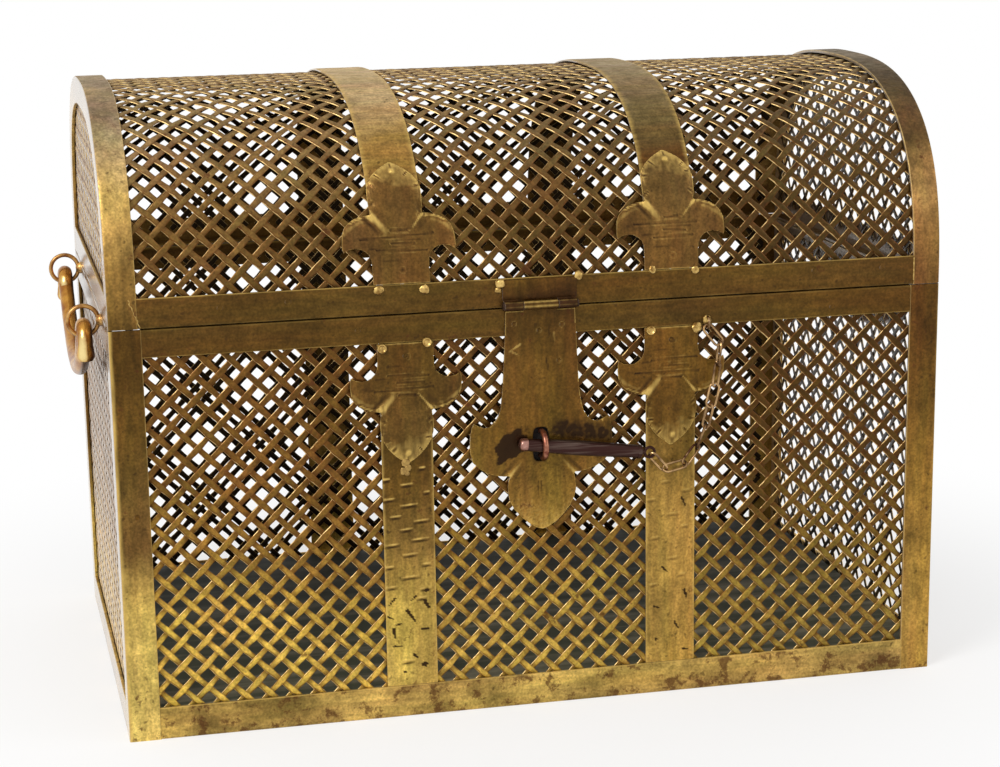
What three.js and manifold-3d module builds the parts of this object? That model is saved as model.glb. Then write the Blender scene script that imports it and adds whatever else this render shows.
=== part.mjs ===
// A dome-top trunk of gilt brass: angle-iron frames, woven lattice panels between them, flat straps that
// end in fleurs, a hasp with a slot, a staple and a tapered peg on a chain, and a bail handle at each end.
// Millimetres. X runs along the front, Y runs from the front to the back, Z is up.

import * as THREE from 'three';
import { mergeVertices } from 'three/addons/utils/BufferGeometryUtils.js';
import Module from 'manifold-3d';

const wasm = await Module();
wasm.setup();

// Overall sizes.
const trunkWidth = 560;
const trunkDepth = 330;
const boxHeight = 274.7;
const lidRise = 142.2;
const archExponent = 2.7;

// Clearances: a seam that shows, a gap between pieces that touch, and the same under a bent piece.
const seamGap = 0.6;
const seat = 0.3;
const bentSeat = 0.6;
const overrun = 5;
const hairGap = 0.02;

// Frames, all bent from one sheet.
const frameSheet = 2;
const postWidth = 20.8;
const rimWidth = 18.2;
const sillWidth = 21.7;
const rimLedge = 10;
const sillLedge = 20;
const lidRailWidth = 19.4;
const archWidth = 18.8;
const archFacets = 36;
const floorSheet = 1.2;
const floorDrop = 1;

// Lattice panels. The strips stand wider apart than woven ones do, so that the gaps stay few.
const netSheet = 2.4;
const netStrip = 6;
const netDiagonal = 64;
const netLap = 12;

// Straps and their fleurs.
const strapGap = 145.7;
const strapWidth = 34.3;
const strapSheet = 1.5;
const fleurLength = 80.7;
const fleurHalfWidth = 36.9;
const fleurSheet = 1.5;

// Back hinges.
const hingeBarrelRadius = 3.2;
const hingePinRadius = 1.6;
const hingeLeafSheet = 1.6;
const knuckleGap = 0.3;

// Hasp.
const haspHalfWidth = 48.7;
const haspDrop = 152.4;
const haspSheet = 1.8;
const haspStandoff = 0.6;
const haspBarrelLength = 48.8;
const haspBarrelRadius = 3.1;
const haspMiddleKnuckle = 23.2;
const haspPinRadius = 1.7;
const haspPinHeadRadius = 2.7;
const haspPinHead = 1;
const haspAxisRise = 1.5;
const haspLeafHalfWidth = 25;
const haspLeafSheet = 1.6;
const haspLeafTopMargin = 1;
const slotWidth = 12;
const slotHeight = 26;
const slotDrop = 94;

// Staple and the plate that holds it on the lattice.
const stapleWireRadius = 1.7;
const stapleHeight = 20.5;
const stapleReach = 16.4;
const stapleBow = 8.2;
const staplePlateWidth = 34;
const staplePlateHeight = 42;
const staplePlateSheet = 1;

// Peg, which leans down towards its chain.
const pegTipBeyondStaple = 16.5;
const pegLength = 84;
const pegTipRadius = 4.5;
const pegTipLength = 3;
const pegThinRadius = 4.2;
const pegThickRadius = 5.1;
const pegThickShare = 0.45;
const pegEndRadius = 4.4;
const pegCollarRadius = 4.8;
const pegCollarLength = 3;
const pegNeckRadius = 1.6;
const pegNeck = 1.6;
const pegLeanAngle = 7.4;
const pegEyeRadius = 3.4;
const pegEyeWireRadius = 1;
const pegStandoff = 5.6;

// Chain.
const linkPitch = 14.3;
const linkWireRadius = 0.65;
const linkHalfWidth = 3.1;
const linkSlack = 0.9;
const linkHeadings = [-51, -98, -97, -104, -104, -113, -128, -167, 135];
const linkRolls = [0, 90, 145, 200, 245, 290, 340, 410, 490];
const chainEyeAcross = 114.4;
const chainEyeOut = 2.9;
const chainEyeUp = 1.5;
const chainEyeRadius = 3.8;
const chainEyeWireRadius = 0.9;
const pegPullAngle = 50;
const chainRunOut = 5.6;
const settleRounds = 60;

// Ring eyes and bails at the ends.
const eyeSpacing = 206;
const eyeRadius = 9.9;
const eyeWireRadius = 1.5;
const eyeShank = 0.1;
const eyeShankRadius = 2.6;
const eyeDrop = 3.8;
const bailRadius = 5.1;
const bailElbow = 9.5;
const bailDrop = 46.4;
const bailFinial = 12;
const bailBowPower = 2.2;

// Numbers of facets.
const roundSides = 16;
const wireSides = 8;
const ringSteps = 20;
const linkSteps = 16;
const linkSides = 6;
const bailSteps = 44;
const bailSides = 12;
const bowSteps = 6;
const stapleSteps = 20;
const arcSteps = 6;

// Places worked out from the sizes above.
const halfWidth = trunkWidth / 2;
const halfDepth = trunkDepth / 2;
const lidBase = boxHeight + seamGap;
const rimBottom = boxHeight - rimWidth;
const netFace = halfDepth - frameSheet;
const strapFace = netFace + strapSheet;
const strapCentre = (strapGap + strapWidth) / 2;
const haspBack = halfDepth + haspStandoff;
const haspFace = haspBack + haspSheet;
const haspAxisOut = halfDepth + seat + haspBarrelRadius;
const haspAxisUp = lidBase + haspAxisRise;
const slotUp = haspAxisUp - slotDrop;
const hingeAxisOut = halfDepth + seat + hingeBarrelRadius;
const hingeAxisUp = boxHeight + seamGap / 2;
const frontReach = stapleReach;
const backReach = hingeAxisOut + hingeBarrelRadius - halfDepth;
const eyeSpread = eyeSpacing / 2;
const eyeOut = halfWidth + eyeShank + eyeWireRadius + eyeRadius;
const eyeUp = boxHeight - eyeDrop;
const bailUp = eyeUp - (eyeRadius - eyeWireRadius - bailRadius - seat);
const pegLean = THREE.MathUtils.degToRad(pegLeanAngle);
const pegOut = haspFace + pegStandoff;

// Finishes.
const gilt = new THREE.MeshStandardMaterial({ color: 0x8a6a2c, roughness: 0.45, metalness: 1 });
const brightGilt = new THREE.MeshStandardMaterial({ color: 0xb8923f, roughness: 0.4, metalness: 1 });
const netGilt = new THREE.MeshStandardMaterial({ color: 0x7a5a28, roughness: 0.55, metalness: 1 });
const polished = new THREE.MeshStandardMaterial({ color: 0xc58f3a, roughness: 0.3, metalness: 1 });
const darkIron = new THREE.MeshStandardMaterial({ color: 0x4a3630, roughness: 0.5, metalness: 0.9 });
const copper = new THREE.MeshStandardMaterial({ color: 0x9a5b45, roughness: 0.35, metalness: 1 });
const chainSteel = new THREE.MeshStandardMaterial({ color: 0x8a6e45, roughness: 0.35, metalness: 1 });
const floorGrey = new THREE.MeshStandardMaterial({ color: 0x3c3d34, roughness: 0.7, metalness: 0.6 });

// Merges a geometry's shared corners and turns it outside out if it came inside out.
function closed(geometry) {
  const bare = geometry.clone();
  bare.deleteAttribute('normal');
  bare.deleteAttribute('uv');
  const merged = mergeVertices(bare);
  const place = merged.attributes.position;
  const index = merged.index.array;
  const corners = [new THREE.Vector3(), new THREE.Vector3(), new THREE.Vector3()];
  let volume = 0;
  for (let i = 0; i < index.length; i += 3) {
    corners.forEach((corner, k) => corner.fromBufferAttribute(place, index[i + k]));
    volume += corners[0].dot(corners[1].clone().cross(corners[2]));
  }
  if (volume < 0) {
    for (let i = 0; i < index.length; i += 3) {
      [index[i], index[i + 1]] = [index[i + 1], index[i]];
    }
  }
  return merged;
}

function solidOf(geometry) {
  const whole = closed(geometry);
  const mesh = new wasm.Mesh({
    numProp: 3,
    vertProperties: new Float32Array(whole.attributes.position.array),
    triVerts: new Uint32Array(whole.index.array),
  });
  return new wasm.Manifold(mesh);
}

function geometryOf(solid) {
  const mesh = solid.getMesh();
  const geometry = new THREE.BufferGeometry();
  geometry.setAttribute('position', new THREE.BufferAttribute(new Float32Array(mesh.vertProperties), 3));
  geometry.setIndex([...mesh.triVerts]);
  return geometry;
}

function joined(...pieces) {
  return geometryOf(pieces.map(solidOf).reduce((whole, piece) => whole.add(piece)));
}

function cut(piece, ...tools) {
  return geometryOf(tools.map(solidOf).reduce((whole, tool) => whole.subtract(tool), solidOf(piece)));
}

// A block between two values on each axis, given in either order.
function block([x0, x1], [y0, y1], [z0, z1]) {
  const geometry = new THREE.BoxGeometry(Math.abs(x1 - x0), Math.abs(y1 - y0), Math.abs(z1 - z0));
  return geometry.translate((x0 + x1) / 2, (y0 + y1) / 2, (z0 + z1) / 2);
}

// A round bar along X.
function barAlongX([x0, x1], radius, y, z) {
  const geometry = new THREE.CylinderGeometry(radius, radius, Math.abs(x1 - x0), roundSides);
  return geometry.rotateZ(Math.PI / 2).translate((x0 + x1) / 2, y, z);
}

// A sheet over flat faces, each a convex ring of [u, v] points. The place of a point at a depth w into
// the sheet is place(u, v, w). Edges that only one face has get a wall.
function sheetOf(faces, thickness, place) {
  const points = [];
  const numbers = new Map();
  const edges = new Map();
  const triangles = [];
  const numberOf = ([u, v]) => {
    const key = `${u.toFixed(4)} ${v.toFixed(4)}`;
    if (!numbers.has(key)) {
      numbers.set(key, points.length);
      points.push([u, v]);
    }
    return numbers.get(key);
  };
  for (const face of faces) {
    const ring = face.map(numberOf);
    for (let i = 1; i + 1 < ring.length; i += 1) {
      triangles.push([ring[0], ring[i], ring[i + 1]]);
    }
    ring.forEach((from, i) => {
      const to = ring[(i + 1) % ring.length];
      if (!edges.delete(`${to} ${from}`)) {
        edges.set(`${from} ${to}`, [from, to]);
      }
    });
  }
  const count = points.length;
  const index = triangles.flatMap(([a, b, c]) => [a, b, c, a + count, c + count, b + count]);
  for (const [a, b] of edges.values()) {
    index.push(b, a, a + count, b, a + count, b + count);
  }
  const spots = [0, thickness].flatMap((w) => points.map(([u, v]) => place(u, v, w)));
  const geometry = new THREE.BufferGeometry();
  geometry.setAttribute('position', new THREE.Float32BufferAttribute(spots.flat(), 3));
  geometry.setIndex(index);
  return closed(geometry);
}

// The number and the size of a net's cells over an opening. Its strips are the cells' diagonals.
function netCells([u0, u1], [v0, v1]) {
  const columns = Math.max(1, Math.round((u1 - u0) / netDiagonal));
  const rows = Math.max(1, Math.round((v1 - v0) / netDiagonal));
  const w = (u1 - u0) / columns;
  const h = (v1 - v0) / rows;
  return { columns, rows, w, h, arm: netStrip * Math.SQRT1_2 };
}

// The faces of a diagonal net over an opening, with a plain border that laps behind its frame.
function netFaces([u0, u1], [v0, v1], lap) {
  const { columns, rows, w, h, arm } = netCells([u0, u1], [v0, v1]);
  const faces = [];
  for (let column = 0; column < columns; column += 1) {
    for (let row = 0; row < rows; row += 1) {
      const left = u0 + column * w;
      const foot = v0 + row * h;
      const right = left + w;
      const head = foot + h;
      const midU = left + w / 2;
      const midV = foot + h / 2;
      const centre = [[midU, midV - arm], [midU + arm, midV], [midU, midV + arm], [midU - arm, midV]];
      const [low, east, high, west] = centre;
      faces.push(centre);
      faces.push([[left, foot], [left + arm, foot], low, west, [left, foot + arm]]);
      faces.push([[right, foot], [right, foot + arm], east, low, [right - arm, foot]]);
      faces.push([[right, head], [right - arm, head], high, east, [right, head - arm]]);
      faces.push([[left, head], [left, head - arm], west, high, [left + arm, head]]);
    }
  }
  const stops = (start, step, count) => {
    const list = [start];
    for (let i = 0; i < count; i += 1) {
      list.push(start + i * step + arm, start + (i + 1) * step - arm, start + (i + 1) * step);
    }
    return list;
  };
  const across = stops(u0, w, columns);
  const up = stops(v0, h, rows);
  const tile = (a, b, c, d) => faces.push([[a, c], [b, c], [b, d], [a, d]]);
  for (let i = 0; i + 1 < across.length; i += 1) {
    tile(across[i], across[i + 1], v0 - lap, v0);
    tile(across[i], across[i + 1], v1, v1 + lap);
  }
  for (let i = 0; i + 1 < up.length; i += 1) {
    tile(u0 - lap, u0, up[i], up[i + 1]);
    tile(u1, u1 + lap, up[i], up[i + 1]);
  }
  for (const [a, b] of [[u0 - lap, u0], [u1, u1 + lap]]) {
    tile(a, b, v0 - lap, v0);
    tile(a, b, v1, v1 + lap);
  }
  return faces;
}

// The diamond gaps of the same net, whole ones also where they reach over its border.
function netGaps([u0, u1], [v0, v1]) {
  const { columns, rows, w, h, arm } = netCells([u0, u1], [v0, v1]);
  const gaps = [];
  for (let i = 0; i <= 2 * columns; i += 1) {
    for (let j = (i + 1) % 2; j <= 2 * rows; j += 2) {
      const u = u0 + (i * w) / 2;
      const v = v0 + (j * h) / 2;
      const across = w / 2 - arm;
      const up = h / 2 - arm;
      gaps.push([[u, v - up], [u + across, v], [u, v + up], [u - across, v]]);
    }
  }
  return gaps;
}

// The lid's arch from its front foot to its back foot: a superellipse, read by its share of the length.
const archFine = 1200;
const archFinePoints = [];
for (let i = 0; i <= archFine; i += 1) {
  const angle = Math.PI * (i / archFine);
  const power = 2 / archExponent;
  const y = -Math.sign(Math.cos(angle)) * Math.abs(Math.cos(angle)) ** power * halfDepth;
  archFinePoints.push(new THREE.Vector2(y, Math.abs(Math.sin(angle)) ** power * lidRise));
}
const archLengths = [0];
for (let i = 1; i <= archFine; i += 1) {
  archLengths.push(archLengths[i - 1] + archFinePoints[i].distanceTo(archFinePoints[i - 1]));
}
const archLength = archLengths[archFine];

// The point of the arch at a length along it, moved square to it and inwards by an inset.
function archPoint(along, inset) {
  const wanted = THREE.MathUtils.clamp(along, 0, archLength);
  let i = archLengths.findIndex((length) => length >= wanted);
  i = THREE.MathUtils.clamp(i, 1, archFine);
  const from = archFinePoints[i - 1];
  const to = archFinePoints[i];
  const share = (wanted - archLengths[i - 1]) / (archLengths[i] - archLengths[i - 1]);
  const spot = from.clone().lerp(to, share);
  const way = to.clone().sub(from).normalize();
  return [spot.x + way.y * inset, lidBase + spot.y - way.x * inset];
}

// The points of the arch at an inset, in equal steps between two lengths along it.
function archRun(inset, [start, end]) {
  const points = [];
  for (let i = 0; i <= archFacets; i += 1) {
    points.push(archPoint(start + (end - start) * (i / archFacets), inset));
  }
  return points;
}

// A plate from one X to another with an outline of [y, z] points.
function endwise([x0, x1], outline) {
  const shape = new THREE.Shape(outline.map(([y, z]) => new THREE.Vector2(y, z)));
  const geometry = new THREE.ExtrudeGeometry(shape, { depth: Math.abs(x1 - x0), bevelEnabled: false });
  const turn = new THREE.Matrix4().makeBasis(
    new THREE.Vector3(0, 1, 0),
    new THREE.Vector3(0, 0, 1),
    new THREE.Vector3(1, 0, 0),
  );
  return geometry.applyMatrix4(turn).translate(Math.min(x0, x1), 0, 0);
}

// A bent band between two insets of the arch and two lengths along it, from one X to another.
function archBand(across, [outer, inner], run) {
  return endwise(across, [...archRun(outer, run), ...archRun(inner, run).reverse()]);
}

// What is left of a convex ring inside another one. Both turn anticlockwise.
function clipped(ring, border) {
  let kept = ring;
  border.forEach((a, i) => {
    const b = border[(i + 1) % border.length];
    const inside = ([u, v]) => (b[0] - a[0]) * (v - a[1]) - (b[1] - a[1]) * (u - a[0]);
    const whole = kept;
    kept = whole.flatMap((point, k) => {
      const next = whole[(k + 1) % whole.length];
      const here = inside(point);
      const there = inside(next);
      const share = here / (here - there);
      const crossing = point.map((value, axis) => value + share * (next[axis] - value));
      return [...(here >= 0 ? [point] : []), ...(here * there < 0 ? [crossing] : [])];
    });
  });
  return kept.filter((point, k) => {
    const [u, v] = kept[(k + 1) % kept.length];
    return Math.hypot(point[0] - u, point[1] - v) > hairGap;
  });
}

function areaOf(ring) {
  return ring.reduce((sum, [u, v], i) => {
    const [nextU, nextV] = ring[(i + 1) % ring.length];
    return sum + (u * nextV - v * nextU) / 2;
  }, 0);
}

// A plate whose half width changes along its length, given as shares of both.
function profileFaces(shares, length, halfWidthMost) {
  const rows = shares.map(([along, half]) => [along * length, half * halfWidthMost]);
  const faces = [];
  for (let i = 0; i + 1 < rows.length; i += 1) {
    const [v0, h0] = rows[i];
    const [v1, h1] = rows[i + 1];
    faces.push([[-h0, v0], [0, v0], [0, v1], [-h1, v1]]);
    faces.push([[0, v0], [h0, v0], [h1, v1], [0, v1]]);
  }
  return faces;
}

// A round bar along a smooth path.
function bar(path, radius, steps, sides) {
  const section = new THREE.Shape();
  section.absarc(0, 0, radius, 0, Math.PI * 2);
  const options = { steps, curveSegments: sides / 2, bevelEnabled: false, extrudePath: path };
  return new THREE.ExtrudeGeometry(section, options);
}

const trunk = new THREE.Group();
trunk.position.y = (frontReach - backReach) / 2;
const box = new THREE.Group();
const lid = new THREE.Group();
trunk.add(box, lid);

function add(parent, name, geometry, material) {
  const mesh = new THREE.Mesh(closed(geometry), material);
  mesh.name = name;
  parent.add(mesh);
}

const ends = [['left', -1], ['right', 1]];
const faces = [['front', -1], ['back', 1]];

// Corner posts: angles that stand the full height of the box.
for (const [face, sy] of faces) {
  for (const [end, sx] of ends) {
    const heights = [0, boxHeight];
    const wide = block(
      [sx * halfWidth, sx * (halfWidth - postWidth)],
      [sy * halfDepth, sy * (halfDepth - frameSheet)],
      heights,
    );
    const deep = block(
      [sx * halfWidth, sx * (halfWidth - frameSheet)],
      [sy * halfDepth, sy * (halfDepth - postWidth)],
      heights,
    );
    add(box, `post_${face}_${end}`, joined(wide, deep), gilt);
  }
}

// Rims and sills: angles between the posts. A rim's ledge carries the lid, a sill's carries the floor.
const openHalfWidth = halfWidth - postWidth;
const openHalfDepth = halfDepth - postWidth;

function railAlongX(sy, [z0, z1], ledge, [ledge0, ledge1]) {
  const across = [-openHalfWidth, openHalfWidth];
  const wall = block(across, [sy * halfDepth, sy * (halfDepth - frameSheet)], [z0, z1]);
  const shelf = block(across, [sy * halfDepth, sy * (halfDepth - ledge)], [ledge0, ledge1]);
  return joined(wall, shelf);
}

function railAlongY(sx, halfRun, [z0, z1], ledge, [ledge0, ledge1]) {
  const run = [-halfRun, halfRun];
  const wall = block([sx * halfWidth, sx * (halfWidth - frameSheet)], run, [z0, z1]);
  const shelf = block([sx * halfWidth, sx * (halfWidth - ledge)], run, [ledge0, ledge1]);
  return joined(wall, shelf);
}

const rimHeights = [rimBottom, boxHeight];
const rimShelf = [boxHeight - frameSheet, boxHeight];
const sillHeights = [0, sillWidth];
const sillShelf = [0, frameSheet];

// The chain hangs from an eye that is soldered to the front rim's lower edge.
const chainEye = new THREE.TorusGeometry(chainEyeRadius, chainEyeWireRadius, wireSides, ringSteps);
chainEye.rotateY(Math.PI / 2);
chainEye.translate(chainEyeAcross, -(halfDepth + chainEyeOut), rimBottom + chainEyeUp);
add(box, 'rim_front', joined(railAlongX(-1, rimHeights, rimLedge, rimShelf), chainEye), gilt);
add(box, 'rim_back', railAlongX(1, rimHeights, rimLedge, rimShelf), gilt);
for (const [end, sx] of ends) {
  add(box, `rim_${end}`, railAlongY(sx, openHalfDepth, rimHeights, rimLedge, rimShelf), gilt);
  add(box, `sill_${end}`, railAlongY(sx, openHalfDepth, sillHeights, sillLedge, sillShelf), brightGilt);
}
for (const [face, sy] of faces) {
  add(box, `sill_${face}`, railAlongX(sy, sillHeights, sillLedge, sillShelf), brightGilt);
}

// Floor: one sheet with its edges folded down, like a tray turned over. It stands on the sills' ledges,
// inside the lattices, with its top a little below the sills' edges.
const floorHalfWidth = halfWidth - frameSheet - netSheet - seat;
const floorHalfDepth = halfDepth - frameSheet - netSheet - seat;
const floorTop = sillWidth - floorDrop;
const floorHollow = block(
  [floorSheet - floorHalfWidth, floorHalfWidth - floorSheet],
  [floorSheet - floorHalfDepth, floorHalfDepth - floorSheet],
  [frameSheet - overrun, floorTop - floorSheet],
);
const floorWhole = [[-floorHalfWidth, floorHalfWidth], [-floorHalfDepth, floorHalfDepth], [frameSheet, floorTop]];
const floor = cut(block(...floorWhole), floorHollow);
add(box, 'floor_sheet', floor, floorGrey);

// Lattice panels of the box, behind the frame's flanges.
const openHeights = [sillWidth, rimBottom];
for (const [face, sy] of faces) {
  const place = (u, v, w) => [u, sy * (netFace - w), v];
  const net = sheetOf(netFaces([-openHalfWidth, openHalfWidth], openHeights, netLap), netSheet, place);
  add(box, `lattice_${face}`, net, netGilt);
}
const endNetFace = halfWidth - frameSheet;
for (const [end, sx] of ends) {
  const place = (u, v, w) => [sx * (endNetFace - w), u, v];
  const net = sheetOf(netFaces([-openHalfDepth, openHalfDepth], openHeights, netLap), netSheet, place);
  add(box, `lattice_${end}`, net, netGilt);
}

// Fleurs: neck, two wings that point back along the strap, and a leaf with a point.
const fleurShares = [
  [0, 0.5], [0.17, 0.51], [0.225, 0.555], [0.265, 0.64], [0.28, 0.97], [0.34, 1], [0.41, 1],
  [0.47, 0.935], [0.52, 0.8], [0.549, 0.6], [0.558, 0.455], [0.6, 0.46], [0.69, 0.483],
  [0.77, 0.447], [0.845, 0.352], [0.92, 0.203], [0.98, 0.06], [1, 0.012],
];
const fleurFaces = profileFaces(fleurShares, fleurLength, fleurHalfWidth);

// Front straps stand between the sill and the rim, each with a fleur that hangs from the rim.
for (const [end, sx] of ends) {
  const centre = sx * strapCentre;
  const across = [centre - strapWidth / 2, centre + strapWidth / 2];
  add(box, `strap_front_${end}`, block(across, [-netFace, -strapFace], openHeights), brightGilt);
  const place = (u, v, w) => [centre + u, -(strapFace + fleurSheet - w), rimBottom - seat - v];
  add(box, `fleur_front_${end}`, sheetOf(fleurFaces, fleurSheet, place), gilt);
}

// Back hinges: the box's half is a strap down the back with two knuckles, the lid's half is a short
// leaf with the middle knuckle.
const knuckle = (strapWidth - 2 * knuckleGap) / 3;
const hingeClear = hingeBarrelRadius + knuckleGap;
const leafBack = halfDepth + hingeLeafSheet;
for (const [end, sx] of ends) {
  const x0 = sx * strapCentre - strapWidth / 2;
  const x1 = x0 + strapWidth;
  const bore = barAlongX([x0 - overrun, x1 + overrun], hingePinRadius + seat, hingeAxisOut, hingeAxisUp);
  const outerRuns = [[x0, x0 + knuckle], [x1 - knuckle, x1]];
  const middleRun = [x0 + knuckle + knuckleGap, x1 - knuckle - knuckleGap];
  const barrel = (run) => barAlongX(run, hingeBarrelRadius, hingeAxisOut, hingeAxisUp);
  const sheet = [halfDepth, leafBack];
  const strap = block([x0, x1], sheet, [frameSheet, hingeAxisUp - hingeClear]);
  const boxWebs = outerRuns.map((run) => block(run, sheet, [hingeAxisUp - hingeClear, hingeAxisUp]));
  const boxHalf = joined(strap, ...boxWebs, ...outerRuns.map(barrel));
  add(box, `strap_back_${end}`, cut(boxHalf, bore), gilt);
  const leaf = block([x0, x1], sheet, [hingeAxisUp + hingeClear, lidBase + lidRailWidth]);
  const lidWeb = block(middleRun, sheet, [hingeAxisUp, hingeAxisUp + hingeClear]);
  add(lid, `hinge_leaf_${end}`, cut(joined(leaf, lidWeb, barrel(middleRun)), bore), gilt);
  add(box, `hinge_pin_${end}`, barAlongX([x0, x1], hingePinRadius, hingeAxisOut, hingeAxisUp), darkIron);
}

// Staple: an upright loop of round wire on a plate that is soldered to the lattice behind the hasp.
const stapleHalf = stapleHeight / 2 - stapleWireRadius;
const stapleTurn = halfDepth + stapleReach - stapleWireRadius - stapleBow;
const staplePoints = [];
for (const [first, sz] of [[true, -1], [false, 1]]) {
  const leg = [new THREE.Vector3(0, -netFace - staplePlateSheet / 2, slotUp + sz * stapleHalf)];
  if (first) {
    staplePoints.push(...leg);
    for (let i = 0; i <= 2 * arcSteps; i += 1) {
      const angle = Math.PI * (i / (2 * arcSteps));
      const y = -stapleTurn - stapleBow * Math.sin(angle);
      staplePoints.push(new THREE.Vector3(0, y, slotUp - stapleHalf * Math.cos(angle)));
    }
  } else {
    staplePoints.push(...leg);
  }
}
const staplePath = new THREE.CatmullRomCurve3(staplePoints);
const staplePlate = block(
  [-staplePlateWidth / 2, staplePlateWidth / 2],
  [-netFace, -netFace - staplePlateSheet],
  [slotUp - staplePlateHeight / 2, slotUp + staplePlateHeight / 2],
);
const stapleLoop = bar(staplePath, stapleWireRadius, stapleSteps, wireSides);
add(box, 'staple', joined(staplePlate, stapleLoop), copper);

// Peg: a tapered bar with a button tip, a collar and an eye for the chain. It is drawn along itself.
const pegThickAlong = pegLength * pegThickShare;
const pegCollarAlong = pegLength - pegCollarLength;
const pegEyeAlong = pegLength + pegNeck + pegEyeRadius + pegEyeWireRadius;
const pegProfile = [
  [0, 0], [pegTipRadius, 0], [pegTipRadius, pegTipLength], [pegThinRadius, pegTipLength],
  [pegThickRadius, pegThickAlong], [pegEndRadius, pegCollarAlong], [pegCollarRadius, pegCollarAlong],
  [pegCollarRadius, pegLength], [pegNeckRadius, pegLength],
  [pegNeckRadius, pegEyeAlong - pegEyeRadius], [0, pegEyeAlong - pegEyeRadius],
].map(([r, along]) => new THREE.Vector2(r, along));
const pegEye = new THREE.TorusGeometry(pegEyeRadius, pegEyeWireRadius, wireSides, ringSteps);
pegEye.rotateY(Math.PI / 2).translate(0, pegEyeAlong, 0);
const peg = joined(new THREE.LatheGeometry(pegProfile, roundSides), pegEye);
const pegTipUp = slotUp + pegTipBeyondStaple * Math.tan(pegLean);
peg.rotateZ(-Math.PI / 2).rotateY(pegLean).translate(-pegTipBeyondStaple, -pegOut, pegTipUp);
add(trunk, 'peg', peg, darkIron);

// The places where the chain's links meet: from the rim's eye along the headings, then pulled into a row
// that ends at the peg's eye with every link one pitch long.
const linkHook = linkWireRadius + linkSlack / 2;
const linkEnd = linkPitch / 2 + linkHook;
const linkSide = linkEnd - linkHalfWidth;
const headings = linkHeadings.map((heading) => {
  const angle = THREE.MathUtils.degToRad(heading);
  return new THREE.Vector3(Math.cos(angle), 0, Math.sin(angle));
});
const rimHook = new THREE.Vector3(
  chainEyeAcross,
  -(halfDepth + chainEyeOut),
  rimBottom + chainEyeUp - chainEyeRadius,
);
const pegHook = new THREE.Vector3(
  pegEyeAlong * Math.cos(pegLean) - pegTipBeyondStaple,
  -pegOut,
  pegTipUp - pegEyeAlong * Math.sin(pegLean),
);
const pegHookReach = pegEyeRadius - pegEyeWireRadius - linkSlack / 2;
const pegPull = -THREE.MathUtils.degToRad(pegPullAngle);
pegHook.addScaledVector(new THREE.Vector3(Math.cos(pegPull), 0, Math.sin(pegPull)), pegHookReach);
rimHook.addScaledVector(headings[0], -(chainEyeWireRadius + linkSlack / 2));
const meetOut = (i) => -THREE.MathUtils.lerp(halfDepth + chainRunOut, pegOut, i / headings.length);
const meets = [rimHook.clone()];
headings.forEach((way, i) => {
  meets.push(meets[i].clone().addScaledVector(way, linkPitch).setY(meetOut(i + 1)));
});
for (let round = 0; round < settleRounds; round += 1) {
  for (const [hook, order] of [[pegHook, [...meets].reverse()], [rimHook, meets]]) {
    order[0].copy(hook);
    order.slice(1).forEach((meet, i) => {
      const way = meet.clone().sub(order[i]).setLength(linkPitch);
      meet.copy(order[i]).add(way);
    });
  }
}

// Chain: open oval links of round wire, each turned against the next.
const linkPoints = [];
for (const sx of [1, -1]) {
  for (let i = 0; i <= arcSteps; i += 1) {
    const angle = Math.PI * (i / arcSteps) - Math.PI / 2;
    const x = sx * (linkSide + linkHalfWidth * Math.cos(angle));
    linkPoints.push(new THREE.Vector3(x, sx * linkHalfWidth * Math.sin(angle), 0));
  }
}
const linkPath = new THREE.CatmullRomCurve3(linkPoints, true);
linkRolls.forEach((roll, i) => {
  const along = meets[i + 1].clone().sub(meets[i]).normalize();
  const flat = new THREE.Vector3(0, -1, 0).addScaledVector(along, along.y).normalize();
  const side = flat.clone().cross(along);
  const middle = meets[i].clone().add(meets[i + 1]).divideScalar(2);
  const link = new THREE.TubeGeometry(linkPath, linkSteps, linkWireRadius, linkSides, true);
  link.rotateX(THREE.MathUtils.degToRad(roll));
  link.applyMatrix4(new THREE.Matrix4().makeBasis(along, side, flat).setPosition(middle));
  add(box, `chain_link_${i + 1}`, link, chainSteel);
});

// Ring eyes on the end rims, and the bails that hang in them. A bail's ends pass outwards through its
// eyes and turn down as blunt finials.
function bailPath(x) {
  const points = [];
  const arc = (y, z, radius, from, to) => {
    for (let i = 0; i <= arcSteps; i += 1) {
      const angle = THREE.MathUtils.degToRad(THREE.MathUtils.lerp(from, to, i / arcSteps));
      points.push([y + radius * Math.cos(angle), z + radius * Math.sin(angle)]);
    }
  };
  const elbowUp = bailUp - bailElbow;
  const bowAcross = eyeSpread - bailElbow;
  const bowLow = bailUp - bailDrop;
  points.push([-eyeSpread - bailElbow, elbowUp - bailFinial]);
  points.push([-eyeSpread - bailElbow, elbowUp - bailFinial / 2]);
  arc(-eyeSpread, elbowUp, bailElbow, 180, 0);
  for (let i = 1 - bowSteps; i < bowSteps; i += 1) {
    const share = i / bowSteps;
    points.push([bowAcross * share, bowLow + (elbowUp - bowLow) * Math.abs(share) ** bailBowPower]);
  }
  arc(eyeSpread, elbowUp, bailElbow, 180, 0);
  points.push([eyeSpread + bailElbow, elbowUp - bailFinial / 2]);
  points.push([eyeSpread + bailElbow, elbowUp - bailFinial]);
  return new THREE.CatmullRomCurve3(points.map(([y, z]) => new THREE.Vector3(x, y, z)));
}

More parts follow.
